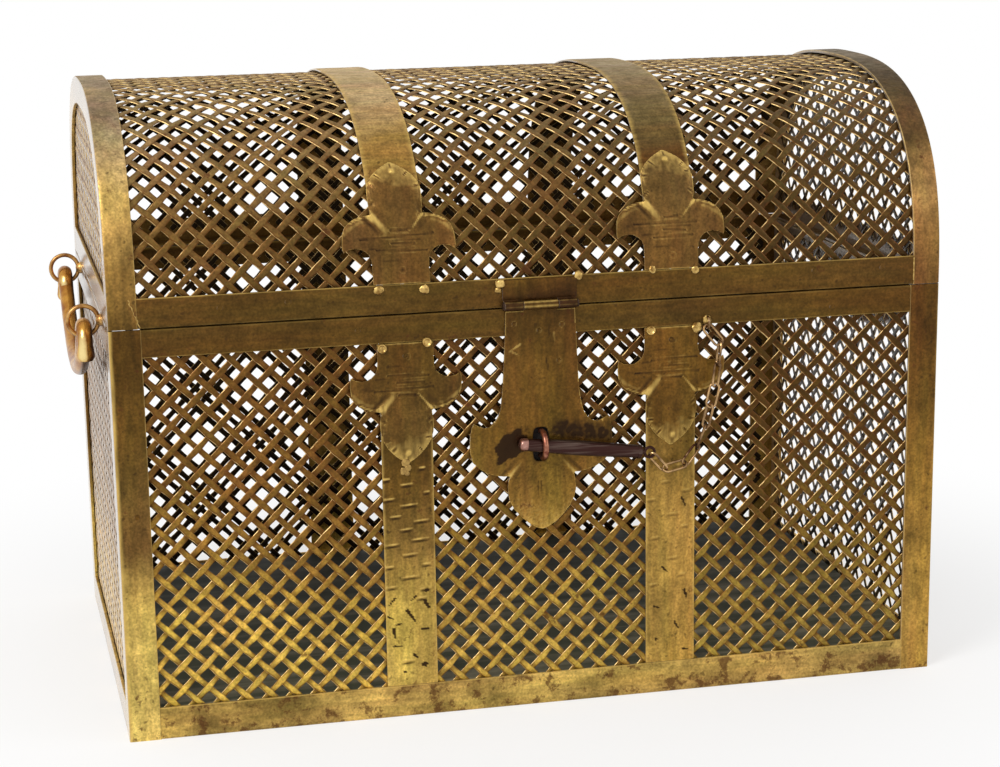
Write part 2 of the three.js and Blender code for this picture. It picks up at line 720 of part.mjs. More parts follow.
for (const [end, sx] of ends) {
  for (const [face, sy] of faces) {
    const ring = new THREE.TorusGeometry(eyeRadius, eyeWireRadius, wireSides, ringSteps);
    ring.rotateX(Math.PI / 2).translate(sx * eyeOut, sy * eyeSpread, eyeUp);
    const shankRun = [sx * halfWidth, sx * (halfWidth + eyeShank + eyeWireRadius)];
    const shank = barAlongX(shankRun, eyeShankRadius, sy * eyeSpread, eyeUp);
    add(box, `eye_${end}_${face}`, joined(ring, shank), polished);
  }
  add(trunk, `bail_${end}`, bar(bailPath(sx * eyeOut), bailRadius, bailSteps, bailSides), polished);
}

// Lid ends: an angle bent to the arch, an end rail between its feet, and a lattice behind both.
const wholeArch = [0, archLength];
const archNetInset = frameSheet + bentSeat;
const lidNetRun = [-(halfDepth - archWidth), halfDepth - archWidth];
const lidNetFoot = lidBase + lidRailWidth;
const above = (z) => [
  [-halfDepth, z],
  [halfDepth, z],
  [halfDepth, lidBase + lidRise],
  [-halfDepth, lidBase + lidRise],
];
const archRing = (inset) => archRun(inset, wholeArch).reverse();
const lidNetOutline = clipped(above(lidNetFoot - netLap), archRing(archNetInset));
const lidNetBorder = clipped(above(lidNetFoot), archRing(archWidth));
const lidNetGaps = netGaps(lidNetRun, [lidNetFoot, lidBase + lidRise - archWidth])
  .map((gap) => clipped(gap, lidNetBorder))
  .filter((gap) => areaOf(gap) > netStrip ** 2);
for (const [end, sx] of ends) {
  const strip = archBand([sx * halfWidth, sx * (halfWidth - archWidth)], [0, frameSheet], wholeArch);
  const flange = archBand([sx * halfWidth, sx * endNetFace], [0, archWidth], wholeArch);
  add(lid, `arch_${end}`, joined(strip, flange), gilt);
  const railHalf = halfDepth - archWidth - bentSeat;
  const sill = [lidBase, lidBase + frameSheet];
  const rail = railAlongY(sx, railHalf, [lidBase, lidBase + lidRailWidth], rimLedge, sill);
  add(lid, `lid_rail_${end}`, rail, gilt);
  const plate = endwise([sx * endNetFace, sx * (endNetFace - netSheet)], lidNetOutline);
  const through = [sx * (endNetFace + overrun), sx * (endNetFace - netSheet - overrun)];
  const gaps = lidNetGaps.map((gap) => endwise(through, gap));
  add(lid, `lid_lattice_${end}`, cut(plate, ...gaps), netGilt);
}

// Lid rails along the front and the back, between the arches.
const lidOpenHalfWidth = halfWidth - archWidth;
for (const [face, sy] of faces) {
  const across = [-lidOpenHalfWidth, lidOpenHalfWidth];
  const sheet = [sy * halfDepth, sy * (halfDepth - frameSheet)];
  const wall = block(across, sheet, [lidBase, lidBase + lidRailWidth]);
  const shelf = block(across, [sy * halfDepth, sy * (halfDepth - rimLedge)], [lidBase, lidBase + frameSheet]);
  add(lid, `lid_rail_${face}`, joined(wall, shelf), gilt);
}

// The dome's lattice, bent under the arches and behind the lid rails.
const domeNetInset = frameSheet + bentSeat;
const domePlace = (u, v, w) => [u, ...archPoint(v, domeNetInset + w)];
const domeRun = [lidRailWidth, archLength - lidRailWidth];
const domeFaces = netFaces([-lidOpenHalfWidth, lidOpenHalfWidth], domeRun, netLap);
const domeNet = sheetOf(domeFaces, netSheet, domePlace);
add(lid, 'dome_lattice', domeNet, netGilt);

// Lid straps: bent over the dome between the rails, each with a fleur that stands up from the front rail.
const lidStrapInset = frameSheet - strapSheet;
const lidStrapRun = [lidRailWidth + seat, archLength - lidRailWidth - seat];
for (const [end, sx] of ends) {
  const centre = sx * strapCentre;
  const across = [centre - strapWidth / 2, centre + strapWidth / 2];
  add(lid, `strap_lid_${end}`, archBand(across, [lidStrapInset, frameSheet], lidStrapRun), gilt);
  const outer = lidStrapInset - seat - fleurSheet;
  const place = (u, v, w) => [centre + u, ...archPoint(lidRailWidth + seat + v, outer + w)];
  add(lid, `fleur_lid_${end}`, sheetOf(fleurFaces, fleurSheet, place), gilt);
}

// Hasp: a leaf with two knuckles on the lid's front rail, a pin, and the slotted plate on its own knuckle.
const haspKnuckleEnd = haspBarrelLength / 2;
const haspMiddle = haspMiddleKnuckle / 2;
const haspClear = haspBarrelRadius + haspStandoff;
const haspBarrel = (run) => barAlongX(run, haspBarrelRadius, -haspAxisOut, haspAxisUp);
const haspBoreRun = [-haspKnuckleEnd - overrun, haspKnuckleEnd + overrun];
const haspBore = barAlongX(haspBoreRun, haspPinRadius + seat, -haspAxisOut, haspAxisUp);
const leafSheetRun = [-halfDepth, -halfDepth - haspLeafSheet];
const leafTop = lidBase + lidRailWidth - haspLeafTopMargin;
const outerKnuckles = ends.map(([end, sx]) => [sx * (haspMiddle + knuckleGap), sx * haspKnuckleEnd]);
const haspLeaf = joined(
  block([-haspLeafHalfWidth, haspLeafHalfWidth], leafSheetRun, [haspAxisUp + haspClear, leafTop]),
  ...outerKnuckles.map((run) => block(run, leafSheetRun, [haspAxisUp, haspAxisUp + haspClear])),
  ...outerKnuckles.map(haspBarrel),
);
add(lid, 'hasp_leaf', cut(haspLeaf, haspBore), gilt);

const pinHalf = haspKnuckleEnd + seat;
const pinProfile = [
  [0, -pinHalf - haspPinHead], [haspPinHeadRadius, -pinHalf - haspPinHead],
  [haspPinHeadRadius, -pinHalf], [haspPinRadius, -pinHalf], [haspPinRadius, pinHalf],
  [haspPinHeadRadius, pinHalf], [haspPinHeadRadius, pinHalf + haspPinHead], [0, pinHalf + haspPinHead],
].map(([r, along]) => new THREE.Vector2(r, along));
const haspPin = new THREE.LatheGeometry(pinProfile, roundSides).rotateZ(-Math.PI / 2);
add(lid, 'hasp_pin', haspPin.translate(0, -haspAxisOut, haspAxisUp), copper);

const haspShares = [
  [0, 0.482], [0.3, 0.5], [0.4, 0.528], [0.455, 0.57], [0.49, 0.62], [0.515, 0.69], [0.522, 0.95],
  [0.56, 0.99], [0.61, 1], [0.66, 0.975], [0.705, 0.88], [0.735, 0.73], [0.748, 0.57], [0.756, 0.478],
  [0.79, 0.485], [0.84, 0.474], [0.89, 0.42], [0.94, 0.32], [0.975, 0.205], [1, 0.05],
];
const haspPlateLength = haspDrop - haspClear;
const haspPlace = (u, v, w) => [u, -(haspFace - w), haspAxisUp - haspClear - v];
const haspPlate = sheetOf(profileFaces(haspShares, haspPlateLength, haspHalfWidth), haspSheet, haspPlace);
const haspWeb = block(
  [-haspMiddle, haspMiddle],
  [-haspBack, -haspFace],
  [haspAxisUp - haspClear - haspSheet, haspAxisUp],
);
const slot = block(
  [-slotWidth / 2, slotWidth / 2],
  [-haspBack + overrun, -haspFace - overrun],
  [slotUp - slotHeight / 2, slotUp + slotHeight / 2],
);
const hasp = joined(haspPlate, haspWeb, haspBarrel([-haspMiddle, haspMiddle]));
add(lid, 'hasp', cut(hasp, haspBore, slot), gilt);

export default trunk;
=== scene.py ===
import math

import bmesh
import bpy
import numpy as np
from mathutils import Matrix, Vector, noise


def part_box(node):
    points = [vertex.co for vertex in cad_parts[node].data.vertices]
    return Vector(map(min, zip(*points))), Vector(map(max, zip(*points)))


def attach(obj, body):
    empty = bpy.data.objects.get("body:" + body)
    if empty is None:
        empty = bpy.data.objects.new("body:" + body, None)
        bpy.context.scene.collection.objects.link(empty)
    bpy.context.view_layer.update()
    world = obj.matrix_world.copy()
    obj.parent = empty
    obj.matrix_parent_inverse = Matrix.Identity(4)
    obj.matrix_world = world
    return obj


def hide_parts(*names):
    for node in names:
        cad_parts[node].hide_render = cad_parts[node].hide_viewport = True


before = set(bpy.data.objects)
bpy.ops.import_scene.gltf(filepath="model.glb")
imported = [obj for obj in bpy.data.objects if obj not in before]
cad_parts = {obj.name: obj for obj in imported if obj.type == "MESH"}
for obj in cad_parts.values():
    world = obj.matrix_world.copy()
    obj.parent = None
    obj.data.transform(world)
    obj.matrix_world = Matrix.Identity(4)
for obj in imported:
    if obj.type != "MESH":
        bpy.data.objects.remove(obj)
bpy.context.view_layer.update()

# The camera stands where the photograph was taken: 1.8 m off, left of the trunk's middle and above its
# lid, with the hair of tilt that the photograph has. Angles are in radians and lengths in metres.
TURN, DIP, TILT = 0.2267, 0.2450, -0.0148
CAMERA_SPOT = (-0.37698, -1.67386, 0.57528)
FOCAL_LENGTH, FRAME_SHIFT = 87.28, 0.0565
ahead = Vector((math.sin(TURN) * math.cos(DIP), math.cos(TURN) * math.cos(DIP), -math.sin(DIP)))
level = Vector((math.cos(TURN), -math.sin(TURN), 0))
upright = level.cross(ahead)
camera_right = math.cos(TILT) * level + math.sin(TILT) * upright
camera_up = math.cos(TILT) * upright - math.sin(TILT) * level
camera_data = bpy.data.cameras.new("photograph")
camera_data.sensor_width = 36
camera_data.lens = FOCAL_LENGTH
camera_data.shift_y = FRAME_SHIFT
camera = bpy.data.objects.new("photograph", camera_data)
turn = Matrix((camera_right, camera_up, -ahead)).transposed().to_4x4()
camera.matrix_world = Matrix.Translation(CAMERA_SPOT) @ turn
bpy.context.scene.collection.objects.link(camera)
bpy.context.scene.camera = camera

# Corner posts: angles folded from 2 mm sheet iron, which stand the full height of the box. They are
# gilded over a red-brown ground and soldered to the rims and the sills.
MM = 0.001
HALF_WIDTH, HALF_DEPTH = 280.0, 165.0
BOX_TOP = 274.7
SHEET = 2.0
POST = 20.8
FOLD = 1.1
MIDDLE = Vector((0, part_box("post_front_left")[0].y + HALF_DEPTH * MM, 0))
ENDS = {"left": -1, "right": 1}
FACES = {"front": -1, "back": 1}


def colour(code):
    """The linear colour of an sRGB hex text such as "#a08040"."""
    parts = [int(code[i:i + 2], 16) / 255 for i in (1, 3, 5)]
    return [p / 12.92 if p <= 0.04045 else ((p + 0.055) / 1.055) ** 2.4 for p in parts] + [1]


def add_node(tree, kind, inputs=None, **settings):
    """Adds a node with its settings, and fills or links its inputs."""
    node = tree.nodes.new(kind)
    for name, value in settings.items():
        setattr(node, name, value)
    for key, value in (inputs or {}).items():
        if isinstance(value, bpy.types.NodeSocket):
            tree.links.new(value, node.inputs[key])
        else:
            node.inputs[key].default_value = value
    return node


def fineness(size):
    """The noise scale, per metre, whose marks are about a size in millimetres across."""
    return 1 / (size * MM)


def blank_material(name):
    """A new material, its node tree, its shader, and the outputs for a spot on the piece and its facing."""
    material = bpy.data.materials.new(name)
    material.use_nodes = True
    tree = material.node_tree
    place = add_node(tree, "ShaderNodeTexCoord")
    return material, tree, tree.nodes["Principled BSDF"], place.outputs["Object"], place.outputs["Normal"]


def tinted(tree, tone, layers):
    """A tone with colours laid over it in turn. A layer is a value, the values at which none and most of its
    colour shows, how much the most is, and the colour."""
    for value, none, full, most, code in layers:
        limits = {"Value": value, "From Min": none, "From Max": full, "To Max": most}
        share = add_node(tree, "ShaderNodeMapRange", limits).outputs[0]
        tone = add_node(tree, "ShaderNodeMix", {0: share, 6: tone, 7: colour(code)}, data_type="RGBA").outputs[2]
    return tone


# Brush marks are 22 mm long and 3 mm wide. Tones are looked up over 0.46 m of height, and the border between
# two of them wanders by up to 40 mm each way.
UPRIGHT, LENGTHWISE = (3.333, 3.333, 22.22), (22.22, 3.333, 3.333)
TONE_REACH, TONE_WARP = 0.46, 0.08


def gilding(name, tones, bole="#4a2414", worn=0.62, rough=0.42, dents=0.4, cloud=0.5, brush=UPRIGHT):
    """Gilt sheet iron, lacquered. tones are its colours at heights in millimetres, with painted light in them:
    lighter and yellower low down, as if lit from the pale floor, and browner up at the lid's seam. It is clouded,
    pitted, brushed in strokes of the size brush, worn through to its red ground (the bole), rubbed and painted
    bright as a highlight on its edges, and painted dark as shade in its creases. Its ends get a pale painted
    reflection, and a lacquer that shines where they are seen along their length."""
    material, tree, shader, place, facing = blank_material(name)
    height = add_node(tree, "ShaderNodeSeparateXYZ", {0: place}).outputs["Z"]

    # The tone for a height, with a wavy border between one tone and the next.
    warp = add_node(tree, "ShaderNodeTexNoise", {"Vector": place, "Scale": fineness(90.91), "Detail": 4.0})
    lifted = add_node(tree, "ShaderNodeMath",
                      {0: warp.outputs[0], 1: TONE_WARP, 2: height}, operation="MULTIPLY_ADD")
    share = add_node(tree, "ShaderNodeMapRange", {"Value": lifted.outputs[0], "From Max": TONE_REACH})
    ramp = add_node(tree, "ShaderNodeValToRGB", {0: share.outputs[0]})
    stops = ramp.color_ramp.elements
    stops.remove(stops[1])
    for number, (level, code) in enumerate(tones):
        at = (level * MM + TONE_WARP / 2) / TONE_REACH
        stop = stops.new(at) if number else stops[0]
        stop.position = at
        stop.color = colour(code)

    # Stains drawn out along the brushing, then four patterns of lighter and darker, coarse to fine.
    scales = [fineness(size) for size in brush]
    clouds = add_node(tree, "ShaderNodeTexNoise",
                      {"Vector": place, "Scale": fineness(50), "Detail": 6.0, "Roughness": 0.6})
    mottle = add_node(tree, "ShaderNodeTexNoise",
                      {"Vector": place, "Scale": fineness(6.667), "Detail": 5.0, "Roughness": 0.6})
    grain = add_node(tree, "ShaderNodeTexNoise", {"Vector": place, "Scale": fineness(1.613), "Detail": 3.0})
    along = add_node(tree, "ShaderNodeMapping", {"Vector": place, "Scale": scales})
    strokes = add_node(tree, "ShaderNodeTexNoise", {"Vector": along.outputs[0], "Scale": 1.0, "Detail": 3.0})
    drawn = add_node(tree, "ShaderNodeMapping", {"Vector": place, "Scale": [0.16 * scale for scale in scales]})
    stains = add_node(tree, "ShaderNodeTexNoise",
                      {"Vector": drawn.outputs[0], "Scale": 1.0, "Detail": 6.0, "Roughness": 0.6})
    stained = {0: 0.3, 6: ramp.outputs[0], 7: stains.outputs["Color"]}
    tone = add_node(tree, "ShaderNodeMix", stained, data_type="RGBA", blend_type="SOFT_LIGHT").outputs[2]
    shade = 1.0
    for pattern, depth in ((clouds, 0.5 * cloud), (mottle, 0.17), (strokes, 0.2), (grain, 0.22)):
        step = add_node(tree, "ShaderNodeMapRange",
                        {"Value": pattern.outputs[0], "From Min": 0.36, "From Max": 0.64,
                        "To Min": 1 - depth, "To Max": 1 + 0.8 * depth})
        shade = add_node(tree, "ShaderNodeMath", {0: step.outputs[0], 1: shade}, operation="MULTIPLY").outputs[0]
    tone = add_node(tree, "ShaderNodeVectorMath", {0: tone, "Scale": shade}, operation="SCALE").outputs[0]

    # Wear, which is heavier within 35 mm of the ground, pits, rubbed edges painted bright as a highlight, creases
    # painted dark as shade, and a pale painted reflection on the ends.
    wear = add_node(tree, "ShaderNodeTexNoise",
                    {"Vector": place, "Scale": fineness(13.333), "Detail": 9.0, "Roughness": 0.7})
    low = add_node(tree, "ShaderNodeMapRange",
                   {"Value": height, "From Min": 35 * MM, "From Max": 0.0, "To Max": 0.07})
    wear = add_node(tree, "ShaderNodeMath", {0: wear.outputs[0], 1: low.outputs[0]}).outputs[0]
    pits = add_node(tree, "ShaderNodeTexNoise",
                    {"Vector": place, "Scale": fineness(3.846), "Detail": 1.0}).outputs[0]
    wear_and_painted_light = add_node(tree, "ShaderNodeAttribute", attribute_name="wear_and_painted_light").outputs["Fac"]
    rub_and_highlight = add_node(tree, "ShaderNodeMath", {0: wear_and_painted_light, 1: strokes.outputs[0]}, operation="MULTIPLY").outputs[0]
    sideways = add_node(tree, "ShaderNodeSeparateXYZ", {0: facing}).outputs["X"]
    on_ends = add_node(tree, "ShaderNodeMath", {0: sideways}, operation="ABSOLUTE").outputs[0]
    tone = tinted(tree, tone, (
        (wear, worn, worn + 0.07, 0.8, bole), (pits, 0.7, 0.76, 0.5, "#2b1a0e"),
        (rub_and_highlight, 0.05, 0.5, 0.85, "#d3b061"), (wear_and_painted_light, -0.05, -0.9, 0.97, "#1f0d09"),
        (on_ends, 0.6, 0.97, 0.25, "#dccaba"),
    ))
    tree.links.new(tone, shader.inputs["Base Color"])

    # Half metallic, because dirt and lacquer dull the gold, with a yellow tint to what it reflects.
    shader.inputs["Metallic"].default_value = 0.5
    shader.inputs["Specular Tint"].default_value = colour("#e6cb96")
    lacquer = add_node(tree, "ShaderNodeMapRange", {"Value": on_ends, "From Min": 0.6, "From Max": 0.97})
    tree.links.new(lacquer.outputs[0], shader.inputs["Coat Weight"])
    shader.inputs["Coat Roughness"].default_value = 0.14
    dull = add_node(tree, "ShaderNodeMapRange", {"Value": mottle.outputs[0], "From Min": 0.3, "From Max": 0.7,
                    "To Min": rough + 0.12, "To Max": rough - 0.1})
    tree.links.new(dull.outputs[0], shader.inputs["Roughness"])
    relief = add_node(tree, "ShaderNodeMath",
                      {0: grain.outputs[0], 1: 0.3, 2: mottle.outputs[0]}, operation="MULTIPLY_ADD")
    bump = add_node(tree, "ShaderNodeBump",
                    {"Height": relief.outputs[0], "Strength": dents, "Distance": 1.2 * MM})
    tree.links.new(bump.outputs[0], shader.inputs["Normal"])
    return material


def finish_piece(name, bm, body, material, stands_for=(), sharp=32):
    """Closes, smooths and places a bmesh made in millimetres, and makes it ride on its body."""
    bmesh.ops.remove_doubles(bm, verts=bm.verts, dist=1e-4)
    bmesh.ops.delete(bm, geom=[e for e in bm.edges if not e.link_faces], context="EDGES")
    bmesh.ops.holes_fill(bm, edges=[e for e in bm.edges if e.is_boundary])
    bmesh.ops.recalc_face_normals(bm, faces=bm.faces)
    for face in bm.faces:
        face.smooth = True
    for edge in bm.edges:
        edge.smooth = edge.calc_face_angle(0) < math.radians(sharp)
    bmesh.ops.scale(bm, vec=(MM, MM, MM), verts=bm.verts)
    bmesh.ops.translate(bm, vec=MIDDLE, verts=bm.verts)
    mesh = bpy.data.meshes.new(name)
    bm.to_mesh(mesh)
    bm.free()
    mesh.materials.append(material)
    piece = bpy.data.objects.new(name, mesh)
    bpy.context.scene.collection.objects.link(piece)
    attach(piece, body)
    if stands_for:
        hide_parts(*stands_for)
    return piece


def sweep(bm, section, stations, closed=False, marks=None, waves=None):
    """Carries a section of (a, b) points along stations of (origin, a axis, b axis). marks give each section point
    its rub and painted highlight, or for a woven strip its place towards the gilt core, and waves how far a woven
    strip stands out at each station."""
    steps = len(stations) - (0 if closed else 1)
    count = len(section)
    floats = bm.verts.layers.float
    for layer in ("wear_and_painted_light", "crown", "over"):
        if layer not in floats:
            floats.new(layer)
    wear_and_painted_light, crown, over = (floats[layer] for layer in ("wear_and_painted_light", "crown", "over"))
    grid = bmesh.ops.create_grid(bm, x_segments=steps, y_segments=count, size=0.5)["verts"]
    for vertex in grid:
        i = round((vertex.co.x + 0.5) * steps) % len(stations)
        j = round((vertex.co.y + 0.5) * count) % count
        origin, a, b = stations[i]
        vertex.co = origin + a * section[j][0] + b * section[j][1]
        if waves:
            vertex[crown], vertex[over] = marks[j], waves[i]
        elif marks:
            vertex[wear_and_painted_light] = marks[j]


def angle_iron(width, depth):
    """The section of an angle with a rounded fold, and how bright each of its points is painted, as rubbing and a
    highlight: a little on the fold, and most on the long edge."""
    chip = 0.35
    section = [
        (0, FOLD + 1.6), (0, FOLD), (0.3 * FOLD, 0.3 * FOLD), (FOLD, 0), (FOLD + 1.6, 0), (FOLD + 3.4, 0),
        (width - 0.9, 0), (width - chip, 0), (width, chip), (width, SHEET), (SHEET, SHEET), (SHEET, depth),
        (chip, depth), (0, depth - chip),
    ]
    return section, [0, 0.12, 0.2, 0.12, 0, 0, 0, 0.4, 0.75, 0, 0, 0, 0.3, 0.3]


def run(start, end, step=6.0):
    """Points from start to end, about one step apart."""
    start, end = Vector(start), Vector(end)
    count = max(1, round((end - start).length / step))
    return [start.lerp(end, i / count) for i in range(count + 1)]


# The posts' tones hold painted light: lighter low down, as if lit from the pale floor, and the left end's lighter
# than the right's, as if lit from the upper left.
POST_TONES = {
    "left": ((0, "#d6b865"), (85, "#d0b15a"), (125, "#78592a"), (200, "#5f4419"), (262, "#573a14")),
    "right": ((0, "#b28a42"), (80, "#ac843c"), (150, "#826028"), (230, "#5f3f18"), (262, "#5c3c16")),
}
for end, sx in ENDS.items():
    gilt_post = gilding(f"gilt_sheet_iron_post_{end}", POST_TONES[end], worn=0.6, cloud=0.7)
    for face, sy in FACES.items():
        bm = bmesh.new()
        corner = (sx * HALF_WIDTH, sy * HALF_DEPTH)
        sides = (Vector((-sx, 0, 0)), Vector((0, -sy, 0)))
        section, marks = angle_iron(POST, POST)
        # The left posts' folds get a stronger painted highlight, as if lit from the left.
        fold_highlights = [0.6, 0.9, 0.7, 0.15] if sx < 0 else [0.5, 0.6, 0.2, 0]
        marks[1:5] = fold_highlights
        sweep(bm, section, [(p, *sides) for p in run((*corner, 0), (*corner, BOX_TOP))], marks=marks)
        finish_piece(f"corner_post_{face}_{end}", bm, "box", gilt_post, [f"post_{face}_{end}"])

# Rims and sills: the same sheet iron between the posts. A rim's ledge carries the lid and a sill's carries the
# floor. The sills are painted much lighter than the rims, as if lit from the pale floor, and lost gilding where
# the box was set down.
RIM, RIM_LEDGE = 18.2, 10.0
SILL, SILL_LEDGE = 21.7, 20.0
RIM_BOTTOM = BOX_TOP - RIM
OPEN_WIDTH, OPEN_DEPTH = HALF_WIDTH - POST, HALF_DEPTH - POST

RIM_TONES, SILL_TONES = ((0, "#593e17"), (265, "#5a3e17")), ((0, "#b8974f"), (20, "#bb9a52"))
gilt_rim = gilding("gilt_sheet_iron_rim", RIM_TONES, brush=LENGTHWISE)
gilt_sill = gilding("gilt_sheet_iron_sill", SILL_TONES, worn=0.572, cloud=1.1, brush=LENGTHWISE)


def rail(bm, out, half_run, reach, edge_up, down, section):
    """An angle along a side: out is the side's outward axis, edge_up the height of its folded edge."""
    out = Vector(out)
    along = Vector((0, 0, 1)).cross(out)
    corner = out * reach + Vector((0, 0, edge_up))
    places = run(corner - along * half_run, corner + along * half_run)
    section, marks = section
    sweep(bm, section, [(p, Vector((0, 0, down)), -out) for p in places], marks=marks)


SIDES = {
    "front": ((0, -1, 0), OPEN_WIDTH, HALF_DEPTH), "back": ((0, 1, 0), OPEN_WIDTH, HALF_DEPTH),
    "left": ((-1, 0, 0), OPEN_DEPTH, HALF_WIDTH), "right": ((1, 0, 0), OPEN_DEPTH, HALF_WIDTH),
}
for side, (out, half_run, reach) in SIDES.items():
    bm = bmesh.new()
    rail(bm, out, half_run, reach, BOX_TOP, -1, angle_iron(RIM, RIM_LEDGE))
    finish_piece(f"box_rim_{side}", bm, "box", gilt_rim, [f"rim_{side}"])
    bm = bmesh.new()
    rail(bm, out, half_run, reach, 0, 1, angle_iron(SILL, SILL_LEDGE))
    finish_piece(f"box_sill_{side}", bm, "box", gilt_sill, [f"sill_{side}"])

# Floor: one sheet of iron with its edges folded down, which stands loose on the sills' ledges. It was never
# gilded, so it has gone a dull grey-green, darker towards the back, with long rubbed streaks where things
# were slid over it. Its shape is the frame's own.
dull_iron, tree, shader, place, _ = blank_material("dull_sheet_iron_floor")
scales = [fineness(size) for size in (142.9, 13.333, 100)]
along = add_node(tree, "ShaderNodeMapping", {"Vector": place, "Scale": scales}).outputs[0]
streaks = add_node(tree, "ShaderNodeTexNoise", {"Vector": along, "Scale": 1.0, "Detail": 6.0}).outputs[0]
depth = add_node(tree, "ShaderNodeSeparateXYZ", {0: place}).outputs["Y"]
tone = tinted(tree, colour("#47472f"), (
    (streaks, 0.46, 0.72, 1.0, "#958a6e"), (depth, -110 * MM, 80 * MM, 0.85, "#1d1d17"),
))
tree.links.new(tone, shader.inputs["Base Color"])
shader.inputs["Metallic"].default_value = 0.2
dull = add_node(tree, "ShaderNodeMapRange", {"Value": streaks, "To Min": 0.85, "To Max": 0.6})
tree.links.new(dull.outputs[0], shader.inputs["Roughness"])
floor_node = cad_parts["floor_sheet"]
floor_node.data.materials.clear()
floor_node.data.materials.append(dull_iron)

# Lattice: rounded iron strips 3.9 mm wide, woven over and under at 45 degrees and gilded after weaving.
# Their outer faces are gilt, one edge of each has a pale painted highlight line, and their inner faces are painted
# dark as shade.
STRIP_PITCH = 11.45
STRIP_WAVE = 0.34
STRIP = [
    (-1.95, -0.32), (-1.8, 0.06), (-1.35, 0.28), (-0.5, 0.42), (0.6, 0.4), (1.4, 0.24), (1.95, -0.14),
    (1.6, -0.42), (-1.7, -0.42),
]
# How near each of those points is to the gilt core, for strips that rise and strips that fall: low values give a
# pale painted highlight line along an edge, and the backs are painted dark as shade.
STRIP_MARKS = {
    1: [0.2, 0.05, 0.6, 1, 0.95, 0.64, 0.38, -1, -1],
    -1: [0.0, 0.0, 0.4, 0.9, 1.0, 0.66, 0.38, -1, -1],
}
NET_LAP = 8.0
BENDS = 4


def net_material():
    """Gilt strips: the crown is clouded gold, painted darker and redder as shade where a strip dips under the
    next, with red-brown edges and pale painted highlight lines, and the inside is painted dark as shade."""
    # Tones by height hold painted light: lighter low down, as if lit from the pale floor, and lighter again over
    # the top of the dome, as if lit from above.
    tones = (
        (20, "#c8a548"), (75, "#b9963f"), (115, "#8d6c2b"), (160, "#6c4c1e"), (255, "#593b17"), (300, "#5f451f"),
        (350, "#6b4f28"), (410, "#846b44"),
    )
    material = gilding("gilt_woven_strip", tones, worn=0.6, rough=0.38, dents=0.3, cloud=0.35, brush=(5, 5, 5))
    tree = material.node_tree
    shader = tree.nodes["Principled BSDF"]
    tone = shader.inputs["Base Color"].links[0].from_socket
    crown = add_node(tree, "ShaderNodeAttribute", attribute_name="crown").outputs["Fac"]
    over = add_node(tree, "ShaderNodeAttribute", attribute_name="over").outputs["Fac"]
    place = add_node(tree, "ShaderNodeTexCoord").outputs["Object"]
    split = add_node(tree, "ShaderNodeSeparateXYZ", {0: place})
    across, height = split.outputs["X"], split.outputs["Z"]

    # How near a point is to a strip's gilt core: by its place across the strip, flecked, and a little more
    # in the middle of each bend out or in.
    flecked = {"Vector": place, "Scale": fineness(5.882), "Detail": 4.0, "Roughness": 0.65}
    flecks = add_node(tree, "ShaderNodeTexNoise", flecked).outputs[0]
    uneven = add_node(tree, "ShaderNodeMath", {0: flecks, 1: 1.3, 2: -0.6}, operation="MULTIPLY_ADD").outputs[0]
    bend = over
    for _ in range(2):
        bend = add_node(tree, "ShaderNodeMath", {0: bend, 1: bend}, operation="MULTIPLY").outputs[0]
    uneven = add_node(tree, "ShaderNodeMath", {0: bend, 1: 0.22, 2: uneven}, operation="MULTIPLY_ADD").outputs[0]
    core = add_node(tree, "ShaderNodeMath", {0: crown, 1: uneven}).outputs[0]

    # Painted shade: a strip is lighter where it stands out and darker where it dips under the next, which shows
    # less higher up, and the net is darker to the right, as if lit from the left.
    limits = {"Value": height, "From Min": 160 * MM, "From Max": 300 * MM, "To Min": 1.0, "To Max": 0.35}
    flatter = add_node(tree, "ShaderNodeMapRange", limits).outputs[0]
    over = add_node(tree, "ShaderNodeMath", {0: over, 1: flatter}, operation="MULTIPLY").outputs[0]
    limits = {"Value": over, "From Min": -1.0, "From Max": 0.8, "To Min": 0.74, "To Max": 1.34}
    dip_shade = add_node(tree, "ShaderNodeMapRange", limits).outputs[0]
    limits = {"Value": across, "From Min": -200 * MM, "From Max": 160 * MM, "To Min": 1.06, "To Max": 0.45}
    rightward_shade = add_node(tree, "ShaderNodeMapRange", limits).outputs[0]
    dip_shade = add_node(tree, "ShaderNodeMath", {0: dip_shade, 1: rightward_shade}, operation="MULTIPLY").outputs[0]
    tone = add_node(tree, "ShaderNodeVectorMath", {0: tone, "Scale": dip_shade}, operation="SCALE").outputs[0]
    # Painted shade in red-brown where a strip dips under, red-brown edges round the gilt core, pale painted
    # highlight lines, and the backs painted dark as shade.
    tone = tinted(tree, tone, (
        (over, 0.0, -0.8, 0.4, "#5c2c10"), (core, 0.85, 0.5, 0.72, "#5e3210"), (core, 0.34, 0.12, 0.9, "#dfbf80"),
        (crown, -0.05, -0.5, 1.0, "#1d120b"),
    ))
    tree.links.new(tone, shader.inputs["Base Color"])
    return material


gilt_net = net_material()


def chord(border, point, way):
    """The stretch of a line that lies inside a convex anticlockwise border, as two lengths along it, or None
    when less than 3 mm of it does."""
    first, last = -1e9, 1e9
    for (u0, v0), (u1, v1) in zip(border, border[1:] + border[:1]):
        inward = Vector((v0 - v1, u1 - u0))
        speed = inward.dot(way)
        room = inward.dot(point - Vector((u0, v0)))
        if abs(speed) < 1e-9:
            if room < 0:
                return None
        elif speed > 0:
            first = max(first, -room / speed)
        else:
            last = min(last, -room / speed)
    return (first, last) if last - first > 3 else None


